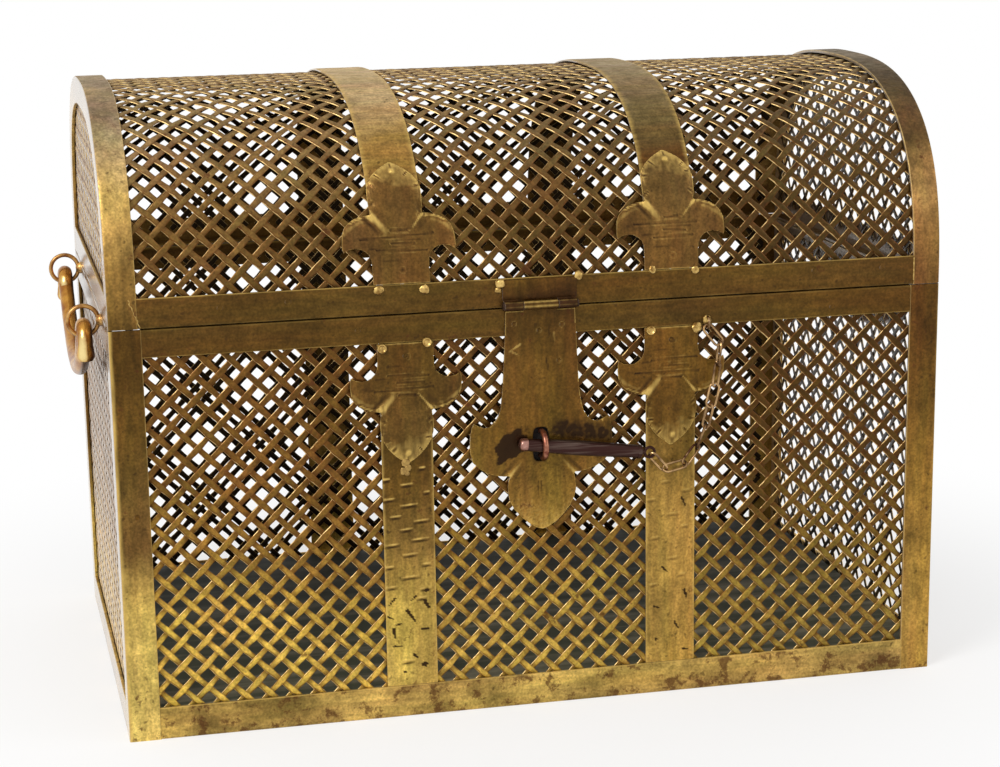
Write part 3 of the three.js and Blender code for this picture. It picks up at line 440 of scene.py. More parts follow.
def weave(bm, border, place):
    """Weaves strips over a flat border. place(u, v, h) puts a point at a height h over the net's face."""
    half = math.sqrt(0.5)
    rising, falling = Vector((half, half)), Vector((half, -half))
    families = ((rising, falling, 1), (falling, rising, -1))
    for way, across, side in families:
        spans = [across.dot(Vector(corner)) for corner in border]
        for number in range(math.ceil(min(spans) / STRIP_PITCH), math.floor(max(spans) / STRIP_PITCH) + 1):
            foot = across * (number * STRIP_PITCH)
            stretch = chord(border, foot, way)
            if stretch is None:
                continue
            step = STRIP_PITCH / BENDS
            inner = range(math.ceil(stretch[0] / step + 0.2), math.floor(stretch[1] / step - 0.2) + 1)
            lengths = [stretch[0], *[i * step for i in inner], stretch[1]]
            stations, waves = [], []
            for length in lengths:
                # Each strip strays a little to its sides, and looks widest where it bends out.
                seed = Vector((length / 45, number * 1.7, 3.0 * side))
                slip = 0.3 * noise.noise(seed)
                spot = foot + way * length + across * slip
                wave = side * math.cos(math.pi * (length / STRIP_PITCH + number))
                low = place(*spot, STRIP_WAVE * wave)
                sideways = place(*(spot + across), STRIP_WAVE * wave) - low
                outward = place(*spot, STRIP_WAVE * wave + 1) - low
                wide = 1 + 0.07 * wave + 0.1 * wave * wave + 0.14 * noise.noise(seed * 2.3)
                stations.append((low, sideways * wide, outward))
                waves.append(wave)
            sweep(bm, STRIP, stations, marks=STRIP_MARKS[side], waves=waves)


NET_DEPTH = 1.2
NET_MIDDLE = SHEET + NET_DEPTH
low_edge, high_edge = SILL - NET_LAP, RIM_BOTTOM + NET_LAP
for side, (out, half_run, reach) in SIDES.items():
    out = Vector(out)
    along = Vector((0, 0, 1)).cross(out)
    across = half_run + NET_LAP
    border = [(-across, low_edge), (across, low_edge), (across, high_edge), (-across, high_edge)]

    def on_side(u, v, h):
        """A point on the net of one side of the box."""
        return out * (reach - NET_MIDDLE + h) + along * u + Vector((0, 0, v))

    bm = bmesh.new()
    weave(bm, border, on_side)
    finish_piece(f"woven_lattice_{side}", bm, "box", gilt_net, [f"lattice_{side}"], sharp=60)

# Front straps: flat bars of the same iron between the sill and the rim, over the lattice. They were
# trued with a narrow chisel, which left rows of short raised strokes across them.
STRAP, STRAP_SHEET, STRAP_GAP = 34.3, 1.5, 145.7
STRAP_CENTRE = (STRAP_GAP + STRAP) / 2
STRAP_FACE = HALF_DEPTH - SHEET + STRAP_SHEET
STRAP_BODY = 1.2
# Tones hold painted light: lighter low down, as if lit from the pale floor, and the left strap's lighter than the
# right's, as if lit from the left.
STRAP_TONES = {
    "left": ((20, "#ccab56"), (75, "#c4a34f"), (120, "#8e6e35"), (165, "#5e4419"), (250, "#503813")),
    "right": ((20, "#b99144"), (100, "#b48d42"), (150, "#a17d38"), (185, "#6e4f20"), (250, "#573b17")),
}


def held(value, low=0.0, high=1.0):
    """A value held between two limits."""
    return max(low, min(high, value))


def bell(off, width):
    """1 on a line and fading smoothly to nothing at about twice a width from it."""
    return math.exp(-(off / width) ** 2)


def relief(bm, outline, pitch, place, thickness, lift, hole=None, rub=None):
    """A plate with a flat back cut from an outline. lift(u, v) raises its face, place(u, v, h) puts a point
    at a height h over its back, and rub(u, v) adds to its painted light and rubbing."""
    wear_and_painted_light = bm.verts.layers.float.get("wear_and_painted_light") or bm.verts.layers.float.new("wear_and_painted_light")
    ring = bmesh.ops.create_circle(bm, cap_ends=True, segments=len(outline), radius=1)["verts"]
    for vertex, (u, v) in zip(ring, outline):
        vertex.co = (u, v, 0)
    for axis in (0, 1):
        values = [point[axis] for point in outline]
        count = max(2, round((max(values) - min(values)) / pitch[axis]))
        normal = Vector((1 - axis, axis, 0))
        for i in range(1, count):
            level = min(values) + (max(values) - min(values)) * i / count
            whole = [*bm.verts, *bm.edges, *bm.faces]
            bmesh.ops.bisect_plane(bm, geom=whole, dist=1e-5, plane_co=normal * level, plane_no=normal)
    if hole:
        (u0, v0), (ru, rv) = hole
        middles = [(face, face.calc_center_median()) for face in bm.faces]
        inside = [face for face, spot in middles if ((spot.x - u0) / ru) ** 4 + ((spot.y - v0) / rv) ** 4 < 1]
        bmesh.ops.delete(bm, geom=inside, context="FACES")
        for vertex in bm.verts:
            du, dv = (vertex.co.x - u0) / ru, (vertex.co.y - v0) / rv
            if vertex.is_boundary and abs(du) < 1.5 and abs(dv) < 1.5:
                grow = (du ** 4 + dv ** 4) ** -0.25
                vertex.co.x, vertex.co.y = u0 + du * ru * grow, v0 + dv * rv * grow
    back = list(bm.verts)
    front = bmesh.ops.extrude_face_region(bm, geom=bm.faces[:])["geom"]
    front = {item for item in front if isinstance(item, bmesh.types.BMVert)}
    heights = {vertex: thickness + lift(vertex.co.x, vertex.co.y) for vertex in front}
    # Painted light by shape: what stands out over its neighbours is painted bright, as rubbing and a highlight,
    # what lies lower is painted dark as shade, the plate's edges get a painted highlight, and the rim of a hole is
    # painted dark as shade.
    for vertex in front:
        near = [edge.other_vert(vertex) for edge in vertex.link_edges]
        if all(other in front for other in near):
            bent = 3.2 * (heights[vertex] - sum(heights[other] for other in near) / len(near))
            vertex[wear_and_painted_light] = held(bent, -0.8, 0.8)
        else:
            vertex[wear_and_painted_light] = 0.6
            if hole and abs(vertex.co.x - u0) < 2 * ru and abs(vertex.co.y - v0) < 2 * rv:
                vertex[wear_and_painted_light] = -0.6
        if rub:
            vertex[wear_and_painted_light] += rub(vertex.co.x, vertex.co.y)
    for vertex in back:
        vertex.co = place(vertex.co.x, vertex.co.y, 0)
    for vertex in front:
        vertex.co = place(vertex.co.x, vertex.co.y, heights[vertex])

    # The extrusion makes its sides in a varying order, so the faces are put in the order of their corners.
    bm.verts.index_update()
    total = len(bm.verts)

    def corner_order(face):
        first, second, third = sorted(corner.index for corner in face.verts)[:3]
        return (first * total + second) * total + third

    bm.faces.sort(key=corner_order)


def rectangle(u0, u1, v0, v1):
    """A rectangle's outline with points every 4 mm or so along its long sides."""
    count = max(1, round((v1 - v0) / 4))
    rise = [v0 + (v1 - v0) * i / count for i in range(count + 1)]
    return [(u0, v) for v in reversed(rise)] + [(u1, v) for v in rise]


def ridge(u, v, a, b, width):
    """How near a point is to the line from a to b, from 1 on it at a to 0, and fainter towards b."""
    a, b, spot = Vector(a), Vector(b), Vector((u, v))
    share = held((spot - a).dot(b - a) / (b - a).length_squared)
    return bell((spot - a.lerp(b, share)).length, width) * (0.35 + 0.65 * (1 - share))


# The chisel's strokes, each by its start, its height and its length, and the gouges between them, each from
# one (across, height) spot to another, with a width.
STROKES = {
    "left": (
        (6.4, 171.7, 6.0), (-17.6, 165.3, 6.1), (-6.3, 160.9, 10.4), (9.6, 155.1, 5.4), (-18.0, 151.5, 9.6),
        (-6.9, 146.6, 14.1), (-13.8, 139.5, 9.4), (1.9, 135.5, 12.7), (-7.6, 130.2, 10.8), (-0.1, 122.8, 14.4),
        (-17.6, 120.1, 12.0), (-5.7, 112.8, 12.1), (-17.6, 105.2, 7.7), (7.2, 105.6, 7.5), (-7.5, 97.2, 15.3),
        (-17.4, 91.1, 9.1), (5.2, 88.7, 9.3), (3.0, 82.4, 8.8), (-8.2, 38.6, 10.8),
    ),
    "right": (
        (-16, 166, 8), (2, 161, 10), (-8, 150, 9), (7, 143, 8), (-17, 138, 8), (-4, 127, 12), (6, 118, 8),
        (-15, 111, 9), (-3, 96, 10), (5, 84, 7), (-16, 78, 8),
    ),
}
GOUGES = {
    "left": (
        (-10.9, 83.2, -15.4, 78.0, 0.6), (3.7, 84.0, -0.7, 80.2, 0.6), (10.6, 88.7, 10.7, 86.5, 1.2),
        (9.7, 79.3, 12.3, 74.9, 1.2), (-2.6, 74.1, 2.6, 66.0, 1.0), (-16.2, 71.1, -11.5, 68.6, 0.6),
        (-10.6, 64.6, -6.0, 65.1, 0.6), (6.5, 60.3, 13.4, 60.5, 0.6), (-12.4, 61.7, -10.8, 55.3, 1.1),
        (-12.0, 49.8, -5.3, 49.2, 0.6), (1.4, 42.9, 3.4, 40.9, 0.9), (8.6, 35.1, 8.8, 34.4, 1.9),
        (-5.7, 31.6, -3.7, 31.1, 0.7),
    ),
    "right": (
        (8, 138, 11, 131, 0.6), (-6, 90, -2, 86, 0.7), (10, 72, 12, 66, 0.9), (-12, 62, -8, 61, 0.6),
        (3, 50, 6, 45, 0.7), (-10, 38, -9.6, 37.4, 1.2), (9, 30, 13, 29, 0.6),
    ),
}


def strokes_near(end, u, v):
    """For each stroke that passes within 5 mm: how far a point lies over it, and its swell there."""
    for first, level, length in STROKES[end]:
        if first < u < first + length and abs(v - level) < 5:
            yield v - level - 0.07 * (u - first), math.sin(math.pi * (u - first) / length) ** 0.8


gilt_strap = {}
for end, sx in ENDS.items():
    centre = sx * STRAP_CENTRE
    depth = 1.0 if sx < 0 else 0.55
    gilt_strap[end] = gilding(f"gilt_strap_iron_{end}", STRAP_TONES[end], cloud=0.6, dents=0.45, worn=0.6)

    def strokes(u, v):
        """The lift of a strap's face: slight dents, filed edges, and the strokes with a hollow under each."""
        height = 0.12 * noise.noise(Vector((u / 11, v / 13, centre)))
        height -= 0.35 * bell(STRAP / 2 - abs(u), 0.7)
        for off, swell in strokes_near(end, u, v):
            height += depth * swell * (0.9 * bell(off, 0.95) - 0.45 * bell(off + 2.0, 1.0))
        return height

    def gouges_and_stroke_light(u, v):
        """How dark a point is painted, negated: dark gouge marks, a painted shadow in the hollow under each
        stroke, and a painted highlight along its top.
        """
        dark = 0.0
        for first, high, last, low, wide in GOUGES[end]:
            dark += (ridge(u, v, (first, high), (last, low), wide) > 0.3) * 1.1
        for off, swell in strokes_near(end, u, v):
            dark += depth * swell * (0.45 * bell(off + 2.0, 0.9) - 0.35 * bell(off - 0.5, 0.8))
        return -dark

    def on_front_strap(u, v, h):
        """A point on a strap down the front."""
        return Vector((centre + u, -(STRAP_FACE - STRAP_SHEET) - h, v))

    bm = bmesh.new()
    outline = rectangle(-STRAP / 2, STRAP / 2, SILL + 0.2, RIM_BOTTOM - 0.2)
    relief(bm, outline, (1.15, 0.75), on_front_strap, STRAP_BODY, strokes, rub=gouges_and_stroke_light)
    finish_piece(f"front_strap_{end}", bm, "box", gilt_strap[end], [f"strap_front_{end}"])

# Fleurs: lily-shaped plates of thinner sheet, beaten hollow from behind so that the leaf stands up
# with small creases round its rim, and soldered on by beads at the neck's corners.
# Half of the outline, by length from the top and half width. The lid's fleurs end in the rounder leaf.
FLEUR_HALF = [
    (0, 18.5), (8, 18.4), (16, 18.8), (19.5, 20.2), (22, 22.8), (23.6, 25.8), (24.0, 29), (23.2, 33), (21.4, 36.3),
    (23.8, 36.9), (28, 36.9), (33, 36.5), (37, 34.9), (40.5, 31.8), (42.8, 28), (44.2, 24), (44.8, 20.5),
    (44.9, 17.6), (45.8, 16.6), (48.5, 17.2), (52, 17.7), (55.5, 17.8), (60, 17.3), (65, 15.9), (70, 12.9),
    (74.5, 8.6), (78, 4.4), (80.3, 1.0),
]
ROUND_LEAF = [(52, 17.6), (57, 17.9), (62, 17.7), (67, 16.1), (71.5, 12.8), (75.5, 8.2), (78.6, 3.6), (80.3, 0.7)]
FLEUR_BODY = 0.7
FLEUR_TONES = {"left": ((170, "#604822"), (256, "#5c4018")), "right": ((170, "#67481a"), (256, "#704e1d"))}


def both_sides(half):
    """The whole outline of a plate that is alike on both sides, from (length, half width) points."""
    return [(w, s) for s, w in half] + [(-w, s) for s, w in reversed(half)]


def edge_finder(outline):
    """A function that gives a point's distance to an outline."""
    start = np.array(outline, float)
    way = np.roll(start, -1, axis=0) - start
    size = np.maximum((way ** 2).sum(1), 1e-9)

    def distance(u, v):
        off = np.array((u, v)) - start
        share = np.clip((off * way).sum(1) / size, 0, 1)
        return float(np.sqrt(((off - way * share[:, None]) ** 2).sum(1).min()))

    return distance


def beaten(outline, seed):
    """The lift of a fleur's face: crowned, its leaf hollowed from behind, creased and folded."""
    distance = edge_finder(outline)

    def lift(u, v):
        deep = distance(u, v)
        height = 0.5 * (1 - math.exp(-deep / 1.3))
        height += 0.3 * noise.noise(Vector((u / 9, v / 9, seed)))
        leaf = 1 - (u / 17) ** 2 - ((v - 60) / 19) ** 2
        if leaf > 0:
            height += 1.5 * leaf ** 0.8
        if v > 44:
            bearing = math.atan2(v - 60, u)
            crease = max(0.0, math.sin(9 * bearing + 2.5 * noise.noise(Vector((bearing * 2, seed, 1))))) ** 8
            height -= 0.6 * crease * bell(deep - 2.2, 2.0)
        for side in (-1, 1):
            tall, wide = (1.5, 2.4) if side < 0 else (0.8, 1.1)
            height += tall * ridge(u, v, (side * 17.0, 44.5), (side * 8.0, 34.0), wide)
            height -= 0.5 * tall * ridge(u, v, (side * 21.5, 42.5), (side * 12.5, 33.0), 1.7)
            height += 0.5 * bell(deep - 1.0, 0.9) * (side * u > 19) * (v > 40)
        for level, reach in ((21.5, 15), (26, 9), (30.5, 22), (34.5, 6)):
            level += 0.06 * u * math.sin(seed + level)
            height -= 0.45 * bell(v - level, 0.8) * (abs(u - 4 * math.sin(level)) < reach)
        height += 1.2 * math.exp(-((u - 0.5) ** 2 + (v - 73.2) ** 2) / 3.4)
        return height

    return lift


def painted_fold_light(seed):
    """Painted light on a fleur: highlights on its folds, round and towards the tip of its leaf, along its wings'
    edges towards the leaf and on its tip, painted shade beside the folds, over the leaf's half towards the neck
    and in its creases, and a pale ring round a dark spot at its pin hole.
    """
    def rub(u, v):
        wear_and_painted_light = 0.14 * noise.noise(Vector((u / 2.5, v / 2.5, seed)))
        for side, strength, wide in ((-1, 1.0, 2.6), (1, 0.4, 1.0)):
            wear_and_painted_light += strength * ridge(u, v, (side * 16.8, 43.8), (side * 9.5, 35.5), wide)
            wear_and_painted_light -= 0.45 * strength * ridge(u, v, (side * 21.0, 42.5), (side * 13.0, 33.5), 1.5)
        leaf = 1 - (u / 17.5) ** 2 - ((v - 60) / 19.5) ** 2
        if v > 46:
            wear_and_painted_light += 0.3 * bell(leaf, 0.25) * min(1.0, (v - 46) / 20)
            ragged = 4 * noise.noise(Vector((u / 6, v / 6, seed)))
            wear_and_painted_light += 0.42 * held((v - 60 + 0.3 * u + ragged) / 12)
            wear_and_painted_light -= 0.26 * max(0.0, leaf) * held((64 - v) / 12)
        elif abs(u) > 13:
            low_rim = 43.5 - 0.02 * (abs(u) - 13) ** 2
            wear_and_painted_light += 0.5 * bell(v - low_rim, 2.6) - 0.18
        for level, first, last in ((15.5, -12, 4), (24.0, -20, -2), (31.0, -30, -21), (27.5, 3, 15), (34.5, 0, 9)):
            wear_and_painted_light -= 0.5 * (first < u < last) * bell(v - level - 0.05 * u, 0.5)
        wear_and_painted_light += 0.5 * math.exp(-((u - 0.5) ** 2 + (v - 73.2) ** 2) / 3)
        away = math.hypot(u - 1, v - 9)
        return wear_and_painted_light + 0.25 * bell(away - 2.0, 0.7) - 0.7 * bell(away, 1.2)

    return rub


def wobble(outline, seed):
    """The same outline, cut a little unevenly by hand."""
    uneven = []
    for u, v in outline:
        across, along = noise.noise(Vector((u / 7, v / 7, seed))), noise.noise(Vector((u / 6, v / 6, seed + 5)))
        uneven.append((u + 0.35 * across, v + 0.3 * along))
    return uneven


FLEUR_TOP = RIM_BOTTOM - 0.4
for seed, (end, sx) in enumerate(ENDS.items()):
    centre = sx * STRAP_CENTRE

    def on_front_fleur(u, v, h):
        """A point on a fleur that hangs from the rim, v below its top."""
        return Vector((centre + u, -STRAP_FACE - h, FLEUR_TOP - v))

    outline = wobble(both_sides(FLEUR_HALF), seed)
    bm = bmesh.new()
    relief(bm, outline, (1.0, 1.0), on_front_fleur, FLEUR_BODY, beaten(outline, seed), rub=painted_fold_light(seed))
    tones = FLEUR_TONES[end]
    gilt_fleur = gilding(f"gilt_beaten_fleur_{end}", tones, worn=0.65, rough=0.36, dents=0.5, cloud=0.45)
    finish_piece(f"front_fleur_{end}", bm, "box", gilt_fleur, [f"fleur_front_{end}"])

# Back hinges: each is a long strap down the back whose top is rolled into two knuckles, and a short
# leaf with the middle knuckle on the lid, on one iron pin.
BARREL, PIN, KNUCKLE_GAP, LEAF_SHEET = 3.2, 1.6, 0.3, 1.6
HINGE_OUT, HINGE_UP = HALF_DEPTH + 0.3 + BARREL, BOX_TOP + 0.3
LID_BASE = BOX_TOP + 0.6
LID_RAIL = 19.4


def turned_piece(bm, profile, origin, axis, steps=28):
    """Turns a profile of (radius, length) points about an axis."""
    axis = Vector(axis).normalized()
    side = axis.orthogonal().normalized()
    spokes = [Matrix.Rotation(2 * math.pi * i / steps, 3, axis) @ side for i in range(steps)]
    sweep(bm, profile, [(Vector(origin), spoke, axis) for spoke in spokes], closed=True)


def tube(bm, x0, x1, y, z, outer, inner, rub_and_highlight=0.8):
    """A knuckle: a rolled tube along X with softened ends, with painted highlight lines along its top and its
    front.
    """
    soft = 0.35
    long = x1 - x0
    profile = [
        (inner, 0), (outer - soft, 0), (outer, soft), (outer, long - soft), (outer - soft, long), (inner, long),
    ]
    turned_piece(bm, profile, (x0, y, z), (1, 0, 0))
    wear_and_painted_light = bm.verts.layers.float["wear_and_painted_light"]
    for vertex in bm.verts:
        up, out = vertex.co.z - z, y - vertex.co.y
        if x0 - 0.1 < vertex.co.x < x1 + 0.1 and math.hypot(up, out) < outer + 0.1:
            bearing = math.atan2(up, out)
            vertex[wear_and_painted_light] = rub_and_highlight * max(bell(bearing - 1.0, 0.3), 0.8 * bell(bearing + 0.1, 0.25))


def flat_bar(bm, low, high, soft=0.4):
    """A plain flat bar with softened edges."""
    low, high = Vector(low), Vector(high)
    made = bmesh.ops.create_cube(bm, size=1)["verts"]
    for vertex in made:
        vertex.co = Vector(low[k] if vertex.co[k] < 0 else high[k] for k in range(3))
    edges = list(dict.fromkeys(edge for vertex in made for edge in vertex.link_edges))
    bmesh.ops.bevel(bm, geom=edges, offset=soft, segments=2, profile=0.5, affect="EDGES", material=-1)


third = (STRAP - 2 * KNUCKLE_GAP) / 3
clear = BARREL + KNUCKLE_GAP
BORE_PLAY = 0.3
# The pins are wrought iron, blackened by smoke and old grease, with a little rust.
dark_pin, tree, shader, place, _ = blank_material("blackened_iron_pin")
rust = add_node(tree, "ShaderNodeTexNoise", {"Vector": place, "Scale": fineness(4.167), "Detail": 5.0}).outputs[0]
tone = tinted(tree, colour("#2c211c"), ((rust, 0.0, 1.0, 1.0, "#5d4638"),))
tree.links.new(tone, shader.inputs["Base Color"])
shader.inputs["Metallic"].default_value = 0.8
shader.inputs["Roughness"].default_value = 0.45
for end, sx in ENDS.items():
    x0 = sx * STRAP_CENTRE - STRAP / 2
    x1 = x0 + STRAP
    bm = bmesh.new()
    flat_bar(bm, (x0, HALF_DEPTH, SHEET), (x1, HALF_DEPTH + LEAF_SHEET, HINGE_UP - clear))
    for a, b in ((x0, x0 + third), (x1 - third, x1)):
        flat_bar(bm, (a, HALF_DEPTH, HINGE_UP - clear - 1), (b, HALF_DEPTH + LEAF_SHEET - 0.1, HINGE_UP - 1))
        tube(bm, a, b, HINGE_OUT, HINGE_UP, BARREL, PIN + BORE_PLAY)
    finish_piece(f"back_strap_{end}", bm, "box", gilt_strap[end], [f"strap_back_{end}"])
    bm = bmesh.new()
    flat_bar(bm, (x0, HALF_DEPTH, HINGE_UP + clear), (x1, HALF_DEPTH + LEAF_SHEET, LID_BASE + LID_RAIL))
    a, b = x0 + third + KNUCKLE_GAP, x1 - third - KNUCKLE_GAP
    flat_bar(bm, (a, HALF_DEPTH, HINGE_UP + 1), (b, HALF_DEPTH + LEAF_SHEET - 0.1, HINGE_UP + clear + 1))
    tube(bm, a, b, HINGE_OUT, HINGE_UP, BARREL, PIN + BORE_PLAY)
    finish_piece(f"lid_hinge_leaf_{end}", bm, "lid", gilt_strap[end], [f"hinge_leaf_{end}"])
    bm = bmesh.new()
    profile = [(0, 0), (PIN - 0.4, 0), (PIN, 0.4), (PIN, STRAP - 0.4), (PIN - 0.4, STRAP), (0, STRAP)]
    turned_piece(bm, profile, (x0, HINGE_OUT, HINGE_UP), (1, 0, 0))
    finish_piece(f"hinge_pin_rod_{end}", bm, "box", dark_pin, [f"hinge_pin_{end}"])

# Lid arches: the same angle, bent over a former to the dome's curve. One leg lies on the dome and the
# other closes the lid's end. Where each foot laps the front rail the solder has run into a ragged seam.
LID_RISE, ARCH_POWER, ARCH = 142.2, 2.7, 18.8
turns = np.linspace(0, math.pi, 2401)
arch_y = -np.sign(np.cos(turns)) * np.abs(np.cos(turns)) ** (2 / ARCH_POWER) * HALF_DEPTH
arch_z = LID_BASE + np.abs(np.sin(turns)) ** (2 / ARCH_POWER) * LID_RISE
arch_s = np.concatenate([[0], np.cumsum(np.hypot(np.diff(arch_y), np.diff(arch_z)))])
ARCH_LENGTH = float(arch_s[-1])


def arch_frame(along):
    """The arch's point at a length along it, and its outward direction."""
    ends = np.clip([along - 1.5, along + 1.5], 0, ARCH_LENGTH)
    ys, zs = np.interp(ends, arch_s, arch_y), np.interp(ends, arch_s, arch_z)
    way = Vector((0, ys[1] - ys[0], zs[1] - zs[0])).normalized()
    point = Vector((0, np.interp(along, arch_s, arch_y), np.interp(along, arch_s, arch_z)))
    return point, Vector((0, -way.z, way.y))


arch_steps = [ARCH_LENGTH * i / 150 for i in range(151)]
# Tones hold painted light: lighter towards the top on the left arch, as if lit from the upper left, and darker at
# the top on the right one.
ARCH_TONES = {
    "left": ((275, "#66491f"), (300, "#84622f"), (318, "#916d36"), (365, "#cba85e"), (412, "#947f62")),
    "right": ((275, "#78532a"), (305, "#8e6936"), (345, "#a37d46"), (375, "#634829"), (412, "#352c1f")),
}
for end, sx in ENDS.items():
    bm = bmesh.new()
    stations = []
    for along in arch_steps:
        point, out = arch_frame(along)
        stations.append((point + Vector((sx * HALF_WIDTH, 0, 0)), Vector((-sx, 0, 0)), -out))
    section, marks = angle_iron(ARCH, ARCH)
    sweep(bm, section, stations, marks=marks)
    gilt_arch = gilding(f"gilt_bent_arch_{end}", ARCH_TONES[end], cloud=0.9, worn=0.6)
    finish_piece(f"lid_arch_{end}", bm, "lid", gilt_arch, [f"arch_{end}"])

# Lid rails: angles of the same folded and gilded sheet iron, soldered between the arches' feet, over the
# box's rims. Their ledges turn inwards at the lid's seam.
gilt_lid_rail = gilding("gilt_sheet_iron_lid_rail", ((275, "#5a3e17"), (295, "#5e411a")), brush=LENGTHWISE)
LID_OPEN = HALF_WIDTH - ARCH
for side, (out, _, reach) in SIDES.items():
    half_run = LID_OPEN if side in FACES else HALF_DEPTH - ARCH - 0.6
    bm = bmesh.new()
    rail(bm, out, half_run, reach, LID_BASE, 1, angle_iron(LID_RAIL, RIM_LEDGE))
    finish_piece(f"lid_rail_bar_{side}", bm, "lid", gilt_lid_rail, [f"lid_rail_{side}"])

# Lid lattice: the same woven strips, bent over the dome inside the arches, and cut to the arch's curve at
# both ends. It was gilded after weaving, like the box's.
DOME_GAP = 0.6
DOME_MIDDLE = SHEET + DOME_GAP + NET_DEPTH


def on_dome(u, v, h):
    """A point on the net over the dome, v along the arch from the front."""
    point, out = arch_frame(v)
    return point + out * (h - DOME_MIDDLE) + Vector((u, 0, 0))


low_run, high_run = LID_RAIL - NET_LAP, ARCH_LENGTH - LID_RAIL + NET_LAP
bounds_u = [-LID_OPEN - NET_LAP, -STRAP_CENTRE, STRAP_CENTRE, LID_OPEN + NET_LAP]
for number, name in enumerate(("left", "middle", "right")):
    u0, u1 = bounds_u[number:number + 2]
    border = [(u0, low_run), (u1, low_run), (u1, high_run), (u0, high_run)]
    bm = bmesh.new()
    weave(bm, border, on_dome)
    stands_for = ["dome_lattice"] if name == "middle" else []
    finish_piece(f"woven_dome_{name}", bm, "lid", gilt_net, stands_for, sharp=60)

# An end's net is cut to a border that laps 8 mm behind the arch and the rail.
foot = LID_BASE + LID_RAIL - NET_LAP
rim_points = []
for along in reversed(arch_steps[::5]):
    point, out = arch_frame(along)
    inner = point - out * (ARCH - NET_LAP)
    if inner.z > foot:
        rim_points.append((inner.y, inner.z))
border = [(rim_points[-1][0], foot), (rim_points[0][0], foot), *rim_points]
for end, sx in ENDS.items():
    def on_end(u, v, h):
        """A point on the net of the lid's end."""
        return Vector((sx * (HALF_WIDTH - NET_MIDDLE + h), u, v))

    bm = bmesh.new()
    weave(bm, border, on_end)
    finish_piece(f"woven_lid_end_{end}", bm, "lid", gilt_net, [f"lid_lattice_{end}"], sharp=60)

# Lid straps and fleurs: straps bent over the dome from rail to rail, each with a fleur that stands up
# from the front rail and ends in a rounder leaf, pinned through its tip.
strap_run = (LID_RAIL + 0.3, ARCH_LENGTH - LID_RAIL - 0.3)
# Tones hold painted light: lighter towards the top of the dome, as if lit from above, and the left strap's lighter
# than the right's.
LID_STRAP_TONES = {
    "left": ((295, "#6a4a1e"), (340, "#7c5a28"), (375, "#9a763a"), (408, "#b69b70")),
    "right": ((295, "#513613"), (365, "#563915"), (395, "#6b5733"), (414, "#8b7857")),
}
LID_FLEUR_TONES = {"left": ((290, "#6e4c23"), (375, "#6c4c24")), "right": ((290, "#6e4d24"), (375, "#664b26"))}
# How far each strap leans sideways at the top of the dome.
STRAP_LEAN = {"left": -5.2, "right": 0.6}
LONG_BRUSH = (16.67, 2.381, 2.381)
lid_half = [point for point in FLEUR_HALF if point[0] < 50] + ROUND_LEAF
for seed, (end, sx) in enumerate(ENDS.items()):
    centre = sx * STRAP_CENTRE
    gilt_lid_strap = gilding(f"gilt_lid_strap_{end}", LID_STRAP_TONES[end], cloud=0.3, worn=0.66, brush=LONG_BRUSH)
    fleur_tones = LID_FLEUR_TONES[end]
    gilt_lid_fleur = gilding(f"gilt_lid_fleur_{end}", fleur_tones, worn=0.65, rough=0.36, dents=0.5, cloud=0.4)

    def on_strap(u, v, h):
        """A point on a strap over the dome, v along the arch from the front."""
        point, out = arch_frame(v)
        lean = STRAP_LEAN[end] * math.sin(math.pi * v / ARCH_LENGTH) ** 0.8
        return point + out * (h - SHEET) + Vector((centre + lean + u, 0, 0))

    def on_fleur(u, v, h):
        """A point on the fleur that lies on that strap, v above the front rail."""
        return on_strap(u, LID_RAIL + 0.4 + v, h + STRAP_SHEET)

    def uneven(u, v):
        """The lift of the strap's face: slight dents and filed edges."""
        return 0.12 * noise.noise(Vector((u / 12, v / 14, centre))) - 0.3 * bell(STRAP / 2 - abs(u), 0.8)

    bm = bmesh.new()
    relief(bm, rectangle(-STRAP / 2, STRAP / 2, *strap_run), (2.1, 2.6), on_strap, STRAP_BODY, uneven)
    finish_piece(f"lid_strap_{end}", bm, "lid", gilt_lid_strap, [f"strap_lid_{end}"])
    outline = wobble(both_sides(lid_half), seed + 3)
    bm = bmesh.new()
    relief(bm, outline, (1.0, 1.0), on_fleur, FLEUR_BODY, beaten(outline, seed + 3), rub=painted_fold_light(seed + 3))
    finish_piece(f"lid_fleur_{end}", bm, "lid", gilt_lid_fleur, [f"fleur_lid_{end}"])

# Hasp: a leaf with two knuckles on the lid's front rail, a copper pin as black with smoke as the hinges'
# iron ones, and a long gilt iron plate that flares into two wings and a round foot, with a slot that drops
# over the staple.
HASP_BARREL, HASP_PIN, HASP_MIDDLE, HASP_HALF_BARREL = 3.1, 1.7, 11.6, 24.4
HASP_BACK = HALF_DEPTH + 0.6
HASP_OUT = HALF_DEPTH + 0.3 + HASP_BARREL
HASP_UP = LID_BASE + 1.5
HASP_TOP = HASP_UP - HASP_BARREL - 0.6
SLOT_UP = HASP_UP - 94.0
HASP_BODY = 1.4
HASP_NAILS = ((-17.9, 264.7), (-1.1, 259.7), (14.4, 262.7), (12.2, 238.8))
HASP_HALF = [
    (0, 23.3), (20, 24.2), (41, 25.2), (55, 26.1), (65, 27.5), (70, 29.2), (74, 31.8), (76.6, 35), (77.2, 38.5),
    (75.8, 42.5), (73.8, 45.6), (76.2, 46.9), (82, 48.2), (88.6, 48.7), (94, 48.4), (99.6, 47), (104.5, 42.6),
    (108, 37), (110.2, 30.5), (110.9, 26), (110.4, 22.6), (111.6, 21.9), (114, 22.6), (118, 23.1), (123, 23.1),
    (128, 22.1), (134, 18.9), (140, 13.8), (144.5, 8.9), (147.4, 4), (148.5, 0.8),
]
